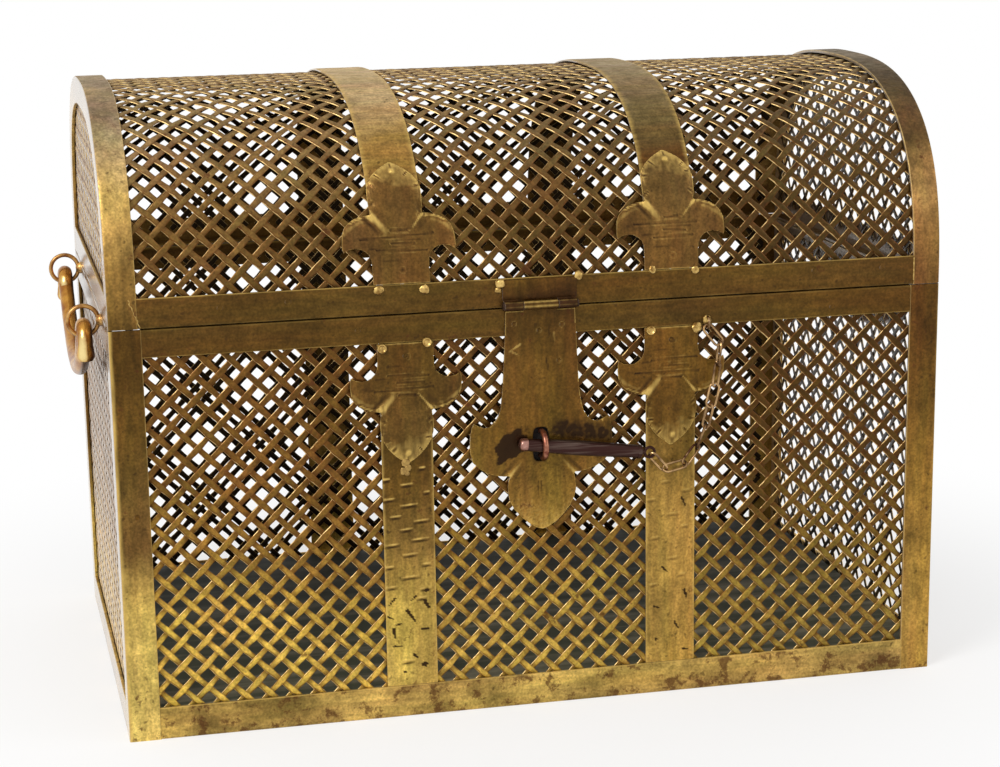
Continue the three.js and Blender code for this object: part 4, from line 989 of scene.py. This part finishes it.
# Tones hold painted light: lighter low down, as if lit from the pale floor.
HASP_TONES = ((125, "#b0873a"), (150, "#85642a"), (185, "#6c4d1c"), (220, "#6a4a1c"), (270, "#4c3212"))
gilt_hasp = gilding("gilt_hasp_plate", HASP_TONES, worn=0.605, rough=0.34, dents=0.45, cloud=0.5)


def hammered(outline):
    """The lift of the hasp's face: crowned, its foot hollowed from behind, with a fold at each wing's root."""
    distance = edge_finder(outline)

    def lift(u, v):
        deep = distance(u, v)
        height = 0.3 * (1 - math.exp(-deep / 1.2)) + 0.16 * noise.noise(Vector((u / 14, v / 14, 9)))
        foot = 1 - (u / 22) ** 2 - ((v - 125) / 22) ** 2
        if foot > 0:
            height += 1.5 * foot ** 0.8
            height += 0.12 * noise.noise(Vector((u / 1.6, v / 1.6, 4)))
        for side in (-1, 1):
            height += 1.3 * ridge(u, v, (side * 22.5, 111), (side * 14, 101), 2.0)
            height -= 0.7 * ridge(u, v, (side * 27, 109.5), (side * 19, 101), 1.8)
        return height

    return lift


# Plain scratches, each from one (across, height) spot to another, bright above 0 and dark below.
SCRATCHES = (
    ((-14.0, 250.8), (-20.7, 246.9), 0.6), ((-20.5, 246.7), (-14.1, 243.5), 0.45),
    ((40.4, 205.0), (42.8, 192.0), 0.9), ((5.4, 262.2), (6.6, 250.1), -0.5), ((3.6, 240.5), (5.5, 230.5), -0.7),
    ((9.0, 258.0), (9.3, 249.0), 0.25), ((-3.1, 157.6), (-2.9, 148.0), -0.5), ((-0.8, 157.4), (-0.5, 147.1), -0.5),
    ((-2.4, 228), (6, 226.5), -0.5),
)


def hasp_marks_and_painted_light(u, v):
    """The hasp's marks and painted light: painted highlights on its folds and lighter over its foot, painted shade
    beside the folds and across its throat, a dark ragged patch left of the peg, the dark lacquer over it, plain
    scratches, and the pits and bright rings round its nails."""
    z = HASP_TOP - v
    wear_and_painted_light = 0.14 * noise.noise(Vector((u / 2.2, v / 2.2, 3)))
    for side in (-1, 1):
        wear_and_painted_light += 0.65 * ridge(u, v, (side * 22.0, 111), (side * 15, 103), 1.7)
        wear_and_painted_light -= 0.4 * ridge(u, v, (side * 26, 109.5), (side * 19, 102), 1.5)
    foot, throat = 0.3 * max(0.0, 1 - (z - 126) / 26) * (z < 152), 0.25 * bell(z - 163, 9) * (abs(u) < 22)
    wear_and_painted_light += foot - throat
    ragged = 3.2 * noise.noise(Vector((u / 5, v / 5, 11))) + 1.6 * noise.noise(Vector((u / 1.8, v / 1.8, 5)))
    dark_patch = 1 - ((u + 20.5) / 11.5) ** 4 - ((z - 183.5 - 0.45 * (u + 20)) / 9.5) ** 4
    wear_and_painted_light -= 1.4 * held(1.5 * (dark_patch + 0.24 * ragged))
    over = z - (SLOT_UP + 11.0 - 0.14 * u + 0.5 * ragged)
    if u > 3:
        patchy = 1.0 + 0.9 * noise.noise(Vector((u / 3, v / 3, 2)))
        wear_and_painted_light -= patchy * bell(over, 6.8) * min(1.0, (u - 3) / 8)
    for a, b, depth in SCRATCHES:
        near = ridge(u, z, a, b, 0.9 if depth > 0 else 0.6)
        wear_and_painted_light += depth * held(3 * (near - 0.25))
    for x, level in HASP_NAILS:
        away = math.hypot(u - x, z - level)
        wear_and_painted_light += 0.35 * bell(away - 1.6, 0.6) - 0.7 * bell(away, 0.9)
    return wear_and_painted_light


def on_hasp(u, v, h):
    """A point on the hasp's plate, v below its top."""
    return Vector((u, -HASP_BACK - h, HASP_TOP - v))


outline = wobble(both_sides(HASP_HALF), 8)
slot_hole = ((-0.6, HASP_TOP - SLOT_UP), (5.4, 11.6))
bm = bmesh.new()
relief(bm, outline, (0.95, 0.95), on_hasp, HASP_BODY, hammered(outline), slot_hole, hasp_marks_and_painted_light)
flat_bar(bm, (-HASP_MIDDLE, -HASP_BACK - 1.7, HASP_TOP - 3), (HASP_MIDDLE, -HASP_BACK, HASP_UP - 1))
tube(bm, -HASP_MIDDLE, HASP_MIDDLE, -HASP_OUT, HASP_UP, HASP_BARREL, HASP_PIN + BORE_PLAY)
finish_piece("hasp_plate", bm, "hasp", gilt_hasp, ["hasp"])

bm = bmesh.new()
leaf_low, leaf_high = HASP_TOP + 2 * HASP_BARREL + 1.2, LID_BASE + LID_RAIL - 1
flat_bar(bm, (-25, -HALF_DEPTH - 1.6, leaf_low), (25, -HALF_DEPTH, leaf_high))
for sx in (-1, 1):
    a, b = sorted((sx * (HASP_MIDDLE + 0.3), sx * HASP_HALF_BARREL))
    flat_bar(bm, (a, -HALF_DEPTH - 1.5, HASP_UP + 0.5), (b, -HALF_DEPTH, HASP_UP + HASP_BARREL + 1))
    tube(bm, a, b, -HASP_OUT, HASP_UP, HASP_BARREL, HASP_PIN + BORE_PLAY, 0.25)
LEAF_TONES = ((275, "#3c2210"), (282, "#40260e"), (296, "#644418"))
gilt_leaf = gilding("gilt_smoked_leaf", LEAF_TONES, worn=0.57, bole="#2e1812")
finish_piece("hasp_leaf_and_knuckles", bm, "lid", gilt_leaf, ["hasp_leaf"])


def metal(name, dark, light, size, roughness, metallic=0.9, shade_tone="#3c1e12", inward=0.0, highlight_share=0.0):
    """Plain worn metal in two tones, in clouds of a size in millimetres. What faces down and back, and by inward
    towards the trunk, is painted dark as shade, and what faces the front and outwards is painted pale as a
    highlight, as much as the last argument gives."""
    material, tree, shader, place, facing = blank_material(name)
    cloudy = {"Vector": place, "Scale": fineness(size), "Detail": 6.0, "Roughness": 0.6}
    clouds = add_node(tree, "ShaderNodeTexNoise", cloudy).outputs[0]
    layers = [(clouds, 0.35, 0.65, 1.0, light)]
    shaded_way, lit_way = (inward, 0.35, -0.8), (-0.42 * math.copysign(1, inward), -0.9, 0)
    for way, uneven, *limits in (
        (shaded_way, 0.9, 0.5, 1.0, 0.88, shade_tone), (lit_way, 0.3, 0.92, 1.15, highlight_share, "#f6e2a0"),
    ):
        faced = add_node(tree, "ShaderNodeVectorMath",
                         {0: facing, 1: way}, operation="DOT_PRODUCT").outputs["Value"]
        patchy = add_node(tree, "ShaderNodeMath",
                          {0: clouds, 1: uneven, 2: faced}, operation="MULTIPLY_ADD").outputs[0]
        layers.append((patchy, *limits))
    tree.links.new(tinted(tree, colour(dark), layers), shader.inputs["Base Color"])
    bump = add_node(tree, "ShaderNodeBump", {"Height": clouds, "Strength": 0.3, "Distance": 0.6 * MM})
    tree.links.new(bump.outputs[0], shader.inputs["Normal"])
    shader.inputs["Metallic"].default_value = metallic
    shader.inputs["Roughness"].default_value = roughness
    return material


copper = metal("worn_copper_wire", "#6a3426", "#b98066", 3.846, 0.3)
bm = bmesh.new()
pin_half = HASP_HALF_BARREL + 0.3
pin_end = 2 * pin_half
profile = [
    (0, -1), (1.9, -1), (2.7, -0.6), (2.7, -0.1), (HASP_PIN, 0), (HASP_PIN, pin_end), (2.7, pin_end + 0.1),
    (2.7, pin_end + 0.6), (1.9, pin_end + 1), (0, pin_end + 1),
]
turned_piece(bm, profile, (-pin_half, -HASP_OUT, HASP_UP), (1, 0, 0))
finish_piece("hasp_pin_rod", bm, "lid", dark_pin, ["hasp_pin"])

# Staple: an upright loop of copper wire, riveted through an iron plate behind the hasp, which is painted
# near-black as the shade behind the hasp. It was bent by hand, so the wire is uneven, and up to half a millimetre
# thicker than its nominal size.
STAPLE_WIRE, STAPLE_HEIGHT, STAPLE_REACH, STAPLE_BOW, STAPLE_SPARE = 1.7, 20.5, 16.4, 8.2, 0.5


def disc(sides):
    """The corners of a circle of radius 1."""
    return [(math.cos(2 * math.pi * i / sides), math.sin(2 * math.pi * i / sides)) for i in range(sides)]


def wire(bm, points, radii, axis, closed=False, sides=12):
    """A round wire along points that lie in a plane square to an axis."""
    axis = Vector(axis).normalized()
    count = len(points)
    stations = []
    for i, point in enumerate(points):
        before = points[i - 1] if closed or i else point
        after = points[(i + 1) % count] if closed or i < count - 1 else point
        way = (after - before).normalized()
        radius = radii[i] if isinstance(radii, list) else radii
        stations.append((point, axis * radius, way.cross(axis) * radius))
    sweep(bm, disc(sides), stations, closed=closed)


half_height = STAPLE_HEIGHT / 2 - STAPLE_WIRE
turn_out = HALF_DEPTH + STAPLE_REACH - STAPLE_WIRE - STAPLE_BOW - STAPLE_SPARE
points = run((0, -HALF_DEPTH + SHEET, SLOT_UP - half_height), (0, -turn_out, SLOT_UP - half_height), 2)
for i in range(1, 16):
    angle = math.pi * i / 16
    points.append(Vector((0, -turn_out - STAPLE_BOW * math.sin(angle), SLOT_UP - half_height * math.cos(angle))))
points += run((0, -turn_out, SLOT_UP + half_height), (0, -HALF_DEPTH + SHEET, SLOT_UP + half_height), 2)
bm = bmesh.new()
wire(bm, points, [STAPLE_WIRE + 0.35 + 0.15 * noise.noise(point / 3) for point in points], (1, 0, 0))
finish_piece("staple_loop", bm, "box", copper, ["staple"])
bm = bmesh.new()
PLATE_HALF_WIDTH, PLATE_HALF_HEIGHT = 17, 21
plate_low = (-PLATE_HALF_WIDTH, -HALF_DEPTH + 1, SLOT_UP - PLATE_HALF_HEIGHT)
flat_bar(bm, plate_low, (PLATE_HALF_WIDTH, -HALF_DEPTH + 2, SLOT_UP + PLATE_HALF_HEIGHT), 0.2)
# The plate is painted near-black as the shade that lies behind the hasp.
shade_black_iron = metal("shade_black_iron_plate", "#140d0a", "#231813", 8.333, 0.8, 0.1)
finish_piece("staple_back_plate", bm, "box", shade_black_iron)

# Peg: a forged iron bar, thickest in the middle, with a copper button at its tip and a wire eye for the
# chain at its other end. It was drawn along its length, which left long bright streaks.
PEG_TIP, PEG_LENGTH, PEG_LEAN = 16.5, 84.0, math.radians(7.4)
PEG_NECK, PEG_EYE_RADIUS, PEG_EYE_WIRE = 1.6, 3.4, 1.0
peg_way = Vector((math.cos(PEG_LEAN), 0, -math.sin(PEG_LEAN)))
peg_foot = Vector((-PEG_TIP, -HASP_BACK - 1.8 - 5.6, SLOT_UP + PEG_TIP * math.tan(PEG_LEAN)))
# Dark wrought iron with paler streaks along it, finer than the gilt parts' brushing.
forged, tree, shader, place, _ = blank_material("drawn_iron_peg")
scales = [fineness(size) for size in (83.33, 2.381, 2.381)]
drawn = {"Vector": place, "Rotation": (0, -PEG_LEAN, 0), "Scale": scales}
along = add_node(tree, "ShaderNodeMapping", drawn).outputs[0]
streaks = add_node(tree, "ShaderNodeTexNoise", {"Vector": along, "Scale": 1.0, "Detail": 3.0}).outputs[0]
tone = tinted(tree, colour("#361c17"), ((streaks, 0.48, 0.76, 1.0, "#6d5c52"),))
tree.links.new(tone, shader.inputs["Base Color"])
bump = add_node(tree, "ShaderNodeBump", {"Height": streaks, "Strength": 0.5, "Distance": 0.8 * MM})
tree.links.new(bump.outputs[0], shader.inputs["Normal"])
shader.inputs["Metallic"].default_value = 0.8
shader.inputs["Roughness"].default_value = 0.34
bm = bmesh.new()
profile = [
    (0, 2), (4.1, 2), (4.1, 6), (4.25, 8), (4.7, 22), (5.05, 36), (5.0, 48), (4.7, 64), (4.4, 80), (4.4, 81),
    (4.75, 81.3), (4.75, 83.6), (4.3, 84), (1.6, 84), (1.6, 87), (0, 87),
]
turned_piece(bm, profile, peg_foot, peg_way, 20)
eye_middle = peg_foot + peg_way * (PEG_LENGTH + PEG_NECK + PEG_EYE_RADIUS + PEG_EYE_WIRE)
eye_points = [eye_middle + Vector((PEG_EYE_RADIUS * u, 0, PEG_EYE_RADIUS * v)) for u, v in disc(20)]
wire(bm, eye_points, PEG_EYE_WIRE, (0, 1, 0), closed=True, sides=10)
finish_piece("drawn_peg", bm, "peg", forged, ["peg"])
bm = bmesh.new()
profile = [(0, 0), (2.8, 0), (3.7, 0.6), (4.2, 1.7), (4.3, 3.6), (4.2, 5.2), (0, 5.2)]
turned_piece(bm, profile, peg_foot, peg_way, 24)
finish_piece("peg_button", bm, "peg", metal("rubbed_copper_button", "#6e4438", "#b98c7e", 5.556, 0.3))

# Chain: nine open links of brass wire, smoked brown, from an eye under the rim to the peg's eye. Each is
# turned against the next. The eye was soldered on with two lumps.
# The way each link heads in the plane of the front, from the eye on, and how far it is turned about that way.
HEADINGS = [-51, -98, -97, -104, -104, -113, -128, -167, 135]
ROLLS = [0, 90, 145, 200, 245, 290, 340, 410, 490]
LINK_PITCH, LINK_WIRE, LINK_HALF, LINK_SLACK = 14.3, 0.65, 3.1, 0.9
CHAIN_EYE = Vector((114.4, -HALF_DEPTH - 2.9, RIM_BOTTOM + 1.5))
CHAIN_EYE_RADIUS, CHAIN_EYE_WIRE = 3.8, 0.9
# The chain pulls on the peg's eye to the lower right.
PULL = math.radians(50)
ways = [Vector((math.cos(math.radians(h)), 0, math.sin(math.radians(h)))) for h in HEADINGS]
inside_eye = PEG_EYE_RADIUS - PEG_EYE_WIRE - LINK_SLACK / 2
peg_hook = eye_middle + inside_eye * Vector((math.cos(PULL), 0, -math.sin(PULL)))
rim_hook = CHAIN_EYE - Vector((0, 0, CHAIN_EYE_RADIUS)) - ways[0] * (CHAIN_EYE_WIRE + LINK_SLACK / 2)
meets = [rim_hook.copy()]
for i, way in enumerate(ways):
    meet = meets[i] + way * LINK_PITCH
    near, far = -HALF_DEPTH - 5.6, peg_foot.y
    meet.y = near + (far - near) * (i + 1) / len(ways)
    meets.append(meet)
# The links are pulled to length from either end in turn, until both ends meet their hooks.
for _ in range(60):
    for hook, order in ((peg_hook, meets[::-1]), (rim_hook, meets)):
        order[0].xyz = hook
        for held, pulled in zip(order, order[1:]):
            pulled.xyz = held + (pulled - held).normalized() * LINK_PITCH
link_side = LINK_PITCH / 2 + LINK_WIRE + LINK_SLACK / 2 - LINK_HALF
# A link's outline: two half circles with straight sides between them.
oval = []
for sx in (1, -1):
    for i in range(9):
        angle = math.pi * i / 8 - math.pi / 2
        oval.append((sx * (link_side + LINK_HALF * math.cos(angle)), sx * LINK_HALF * math.sin(angle)))
smoked = metal("smoked_brass_chain", "#3a1c12", "#c8a270", 13.333, 0.24)
for number, roll in enumerate(ROLLS):
    along = (meets[number + 1] - meets[number]).normalized()
    flat = (Vector((0, -1, 0)) + along * along.y).normalized()
    spin = Matrix.Rotation(math.radians(roll), 3, along)
    flat, side = spin @ flat, spin @ flat.cross(along)
    middle = (meets[number] + meets[number + 1]) / 2
    bm = bmesh.new()
    wire(bm, [middle + along * u + side * v for u, v in oval], LINK_WIRE + 0.2, flat, closed=True, sides=10)
    finish_piece(f"chain_link_wire_{number + 1}", bm, "box", smoked, [f"chain_link_{number + 1}"])
bright = metal("bright_gilt_solder", "#7c5820", "#e0bd70", 4.348, 0.3, 0.7)
bm = bmesh.new()
eye_points = [CHAIN_EYE + Vector((0, CHAIN_EYE_RADIUS * u, CHAIN_EYE_RADIUS * v)) for u, v in disc(24)]
wire(bm, eye_points, CHAIN_EYE_WIRE, (1, 0, 0), closed=True)
finish_piece("chain_eye_ring", bm, "box", smoked)

# Solder beads and nail heads: lumps of gilt solder at the fleurs' necks, the hasp's leaf and the chain's
# eye, and small round heads along the rails that were filed nearly flush.


def bead(bm, spot, size, seed, flat):
    """A flattened lump of solder on the front."""
    lump = bmesh.ops.create_icosphere(bm, subdivisions=3, radius=1)["verts"]
    for vertex in lump:
        rough = 1 + 0.22 * noise.noise(vertex.co * 1.6 + Vector((seed, 0, 0)))
        x, y, z = vertex.co * rough
        vertex.co = Vector((spot[0] + x * size, spot[1] + y * size * flat, spot[2] + z * size))


def nail_head(bm, spot, size, height):
    """A round head with a raised rim and a dimple, facing the front."""
    profile = [
        (0, 0.2 * height), (0.5 * size, 0.25 * height), (0.72 * size, height), (0.88 * size, 0.9 * height),
        (size, 0), (size, -0.4), (0, -0.4),
    ]
    turned_piece(bm, profile, spot, (0, -1, 0), 18)


FRONT = -HALF_DEPTH
bm = bmesh.new()
for x, z in ((-105.4, 253.3), (-75.7, 255.9), (75.7, 254.6)):
    nail_head(bm, (x, FRONT - 0.9, z), 3.3, 0.9)
bead(bm, (107.6, FRONT - 1.0, 254.9), 3.5, 5, 0.5)
bead(bm, (114.6, FRONT - 0.7, 259.6), 3.0, 6, 0.5)
finish_piece("box_solder_beads", bm, "box", bright)
bm = bmesh.new()
DROPS = ((-91.8, 176.2, 2.7), (-90.0, 172.6, 2.2), (-93.2, 170.6, 2.4), (-90.8, 168.8, 1.6))
for seed, (x, z, size) in enumerate(DROPS):
    bead(bm, (x, -STRAP_FACE - 1.0, z), size, seed + 30, 0.35)
dull_solder = metal("dull_gilt_solder", "#6e5022", "#b4924e", 5, 0.4, 0.5)
finish_piece("strap_solder_drops", bm, "box", dull_solder)
bm = bmesh.new()
for x, z in ((-267.6, 152.6), (-120.8, 266), (203, 263)):
    nail_head(bm, (x, FRONT, z), 1.9, 0.3)
for x in (-STRAP_CENTRE, STRAP_CENTRE):
    nail_head(bm, (x, -STRAP_FACE - 1.1, RIM_BOTTOM - 9), 2.0, 0.4)
finish_piece("box_nail_heads", bm, "box", gilt_rim)
bm = bmesh.new()
LID_BEADS = ((-106.5, 291.5, 3.2), (-76.5, 290.5, 3.2), (76.8, 295.2, 2.6), (106.5, 293.6, 2.6))
for seed, (x, z, size) in enumerate(LID_BEADS):
    bead(bm, (x, FRONT - 0.4, z), size, seed + 10, 0.45)
bead(bm, (-26.4, FRONT - 0.6, 291.5), 3.4, 17, 0.6)
bead(bm, (-27.6, FRONT - 0.5, 287.4), 2.2, 18, 0.6)
bead(bm, (26.4, FRONT - 0.6, 294.4), 3.0, 19, 0.6)
# The solder that ran down beside the left arch's foot, then the right one's.
seam = []
for i in range(27):
    across = -266.5 + 0.26 * i + 1.3 * noise.noise(Vector((i / 3, 2, 3)))
    seam.append(Vector((across, FRONT + 0.15, 294.2 - 0.7 * i)))
wire(bm, seam, [0.38 + 0.3 * noise.noise(Vector((i * 0.9, 0, 0))) for i in range(27)], (0, 1, 0), sides=8)
seam = [Vector((261.2 + 0.9 * noise.noise(Vector((i, 5, 5))), FRONT + 0.1, 293.5 - 1.4 * i)) for i in range(12)]
wire(bm, seam, [0.5 + 0.25 * noise.noise(Vector((i * 0.9, 9, 0))) for i in range(12)], (0, 1, 0), sides=8)
finish_piece("lid_solder_beads", bm, "lid", bright)
bm = bmesh.new()
for x, z in ((-208.8, 286.1), (-165.3, 287.4), (190.1, 288.5), (238.5, 288.0)):
    nail_head(bm, (x, FRONT, z), 2.1, 0.35)
finish_piece("lid_nail_heads", bm, "lid", gilt_lid_rail)
bm = bmesh.new()
for x, z in HASP_NAILS:
    nail_head(bm, (x, -HASP_BACK - 1.7, z), 1.5, 0.35)
finish_piece("hasp_nail_heads", bm, "hasp", gilt_hasp)

# Ring eyes and bails: rings of brass wire soldered to the end rims, and heavy cast brass bails that hang
# in them. A bail's ends turn down outside its rings as blunt finials.
EYE_SPREAD, EYE_RADIUS, EYE_WIRE, EYE_SHANK = 103.0, 9.9, 1.5, 0.1
EYE_OUT, EYE_UP = HALF_WIDTH + EYE_SHANK + EYE_WIRE + EYE_RADIUS, BOX_TOP - 3.8
BAIL, ELBOW, DROP, FINIAL, BOW_POWER = 5.1, 9.5, 46.4, 12.0, 2.2
FINIAL_RADII = (4.6, 5.8, 5.9, 5.6, 5.4)
BAIL_UP = EYE_UP - (EYE_RADIUS - EYE_WIRE - BAIL - 0.3)
brass_wire = metal("polished_brass_ring", "#855528", "#d6a862", 9.091, 0.3, 0.75)


def bail_points():
    """The (y, z) points of a bail, from one finial to the other."""
    points = []

    def arc(y, z, radius, start, end, count):
        for i in range(count + 1):
            angle = math.radians(start + (end - start) * i / count)
            points.append((y + radius * math.cos(angle), z + radius * math.sin(angle)))

    elbow_up, low, across = BAIL_UP - ELBOW, BAIL_UP - DROP, EYE_SPREAD - ELBOW
    points += [(-EYE_SPREAD - ELBOW, elbow_up - FINIAL + i * 2.0) for i in range(6)]
    arc(-EYE_SPREAD, elbow_up, ELBOW, 180, 0, 10)
    for i in range(-17, 18):
        share = math.copysign(1 - (1 - abs(i / 18)) ** 1.25, i)
        points.append((across * share, low + (elbow_up - low) * abs(share) ** BOW_POWER))
    arc(EYE_SPREAD, elbow_up, ELBOW, 180, 0, 10)
    points += [(EYE_SPREAD + ELBOW, elbow_up - 2.0 - i * 2.0) for i in range(6)]
    return points


for end, sx in ENDS.items():
    for face, sy in FACES.items():
        middle = Vector((sx * EYE_OUT, sy * EYE_SPREAD, EYE_UP))
        bm = bmesh.new()
        eye_points = [middle + Vector((EYE_RADIUS * u, 0, EYE_RADIUS * v)) for u, v in disc(36)]
        wire(bm, eye_points, EYE_WIRE, (0, 1, 0), closed=True)
        foot = Vector((sx * HALF_WIDTH, sy * EYE_SPREAD, EYE_UP))
        solder = [(0, -0.2), (4.3, -0.2), (4.2, 0.8), (3.4, 2.2), (2.2, 3.3), (0, 3.6)]
        turned_piece(bm, solder, foot, (sx, 0, 0), 20)
        finish_piece(f"ring_eye_{end}_{face}", bm, "box", brass_wire, [f"eye_{end}_{face}"])
    # Painted shade towards the trunk and underneath, and a pale painted highlight on the outer front.
    tints = ("#94581c", "#cf9a42")
    brass_bail = metal(f"cast_brass_bail_{end}", *tints, 13.333, 0.26, 0.8, "#351806", -1.2 * sx, 0.8)
    points = [Vector((sx * EYE_OUT, y, z)) for y, z in bail_points()]
    radii = [BAIL + 0.12 * noise.noise(Vector((i * 0.6, sx, 0))) for i in range(len(points))]
    for i, radius in enumerate(FINIAL_RADII):
        radii[i] = radii[-1 - i] = radius
    bm = bmesh.new()
    wire(bm, points, radii, (1, 0, 0), sides=20)
    finish_piece(f"cast_bail_{end}", bm, f"bail_{end}", brass_bail, [f"bail_{end}"])

# Studio: a plain pale floor that keeps the trunk's shadow and goes to pure white further off, a white
# surround for the camera and for reflections, soft light from all round, and a soft lamp at the upper left.
floor_mesh = bpy.data.meshes.new("studio_floor")
bm = bmesh.new()
bmesh.ops.create_grid(bm, x_segments=1, y_segments=1, size=6)
bm.to_mesh(floor_mesh)
bm.free()
studio_floor = bpy.data.objects.new("studio_floor", floor_mesh)
bpy.context.scene.collection.objects.link(studio_floor)
pale, tree, shader, place, _ = blank_material("matt_pale_floor")
shader.inputs["Base Color"].default_value = colour("#f7f6f4")
shader.inputs["Roughness"].default_value = 0.9


def seen_directly(tree):
    """1 for what the camera or a reflection sees, and 0 for the light that falls on things."""
    path = add_node(tree, "ShaderNodeLightPath")
    seen = path.outputs["Is Camera Ray"]
    for ray in ("Is Glossy Ray", "Is Transmission Ray"):
        seen = add_node(tree, "ShaderNodeMath", {0: seen, 1: path.outputs[ray]}, operation="MAXIMUM").outputs[0]
    return seen


away = add_node(tree, "ShaderNodeVectorMath", {0: place}, operation="LENGTH").outputs["Value"]
fading = {"Value": away, "From Min": 0.25, "From Max": 0.65, "To Min": 0.6, "To Max": 1.0}
white = add_node(tree, "ShaderNodeMapRange", fading, interpolation_type="SMOOTHSTEP").outputs[0]
white = add_node(tree, "ShaderNodeMath", {0: seen_directly(tree), 1: white}, operation="MULTIPLY").outputs[0]
glow = add_node(tree, "ShaderNodeEmission", {"Color": (1, 1, 1, 1), "Strength": 1.0}).outputs[0]
both = add_node(tree, "ShaderNodeMixShader", {0: white, 1: shader.outputs[0], 2: glow})
tree.links.new(both.outputs[0], tree.nodes["Material Output"].inputs["Surface"])
floor_mesh.materials.append(pale)

world = bpy.data.worlds.new("soft_studio")
world.use_nodes = True
bpy.context.scene.world = world
tree = world.node_tree
strength = add_node(tree, "ShaderNodeMapRange", {"Value": seen_directly(tree), "To Min": 0.62, "To Max": 1.0})
sky = tree.nodes["Background"]
sky.inputs["Color"].default_value = (1, 1, 1, 1)
tree.links.new(strength.outputs[0], sky.inputs["Strength"])

# Each lamp's place and size in metres, and its power in watts.
LAMPS = {"key": ((-2.1, -1.7, 2.2), 1.5, 62), "fill": ((2.2, -1.2, 1.6), 1.6, 8)}
for name, (spot, size, power) in LAMPS.items():
    lamp_data = bpy.data.lights.new(name, "AREA")
    lamp_data.shape = "DISK"
    lamp_data.size = size
    lamp_data.energy = power
    lamp = bpy.data.objects.new(name, lamp_data)
    lamp.location = spot
    lamp.rotation_euler = (Vector((0, 0, 0.2)) - Vector(spot)).to_track_quat("-Z", "Y").to_euler()
    bpy.context.scene.collection.objects.link(lamp)

bpy.context.scene.view_settings.view_transform = "Standard"
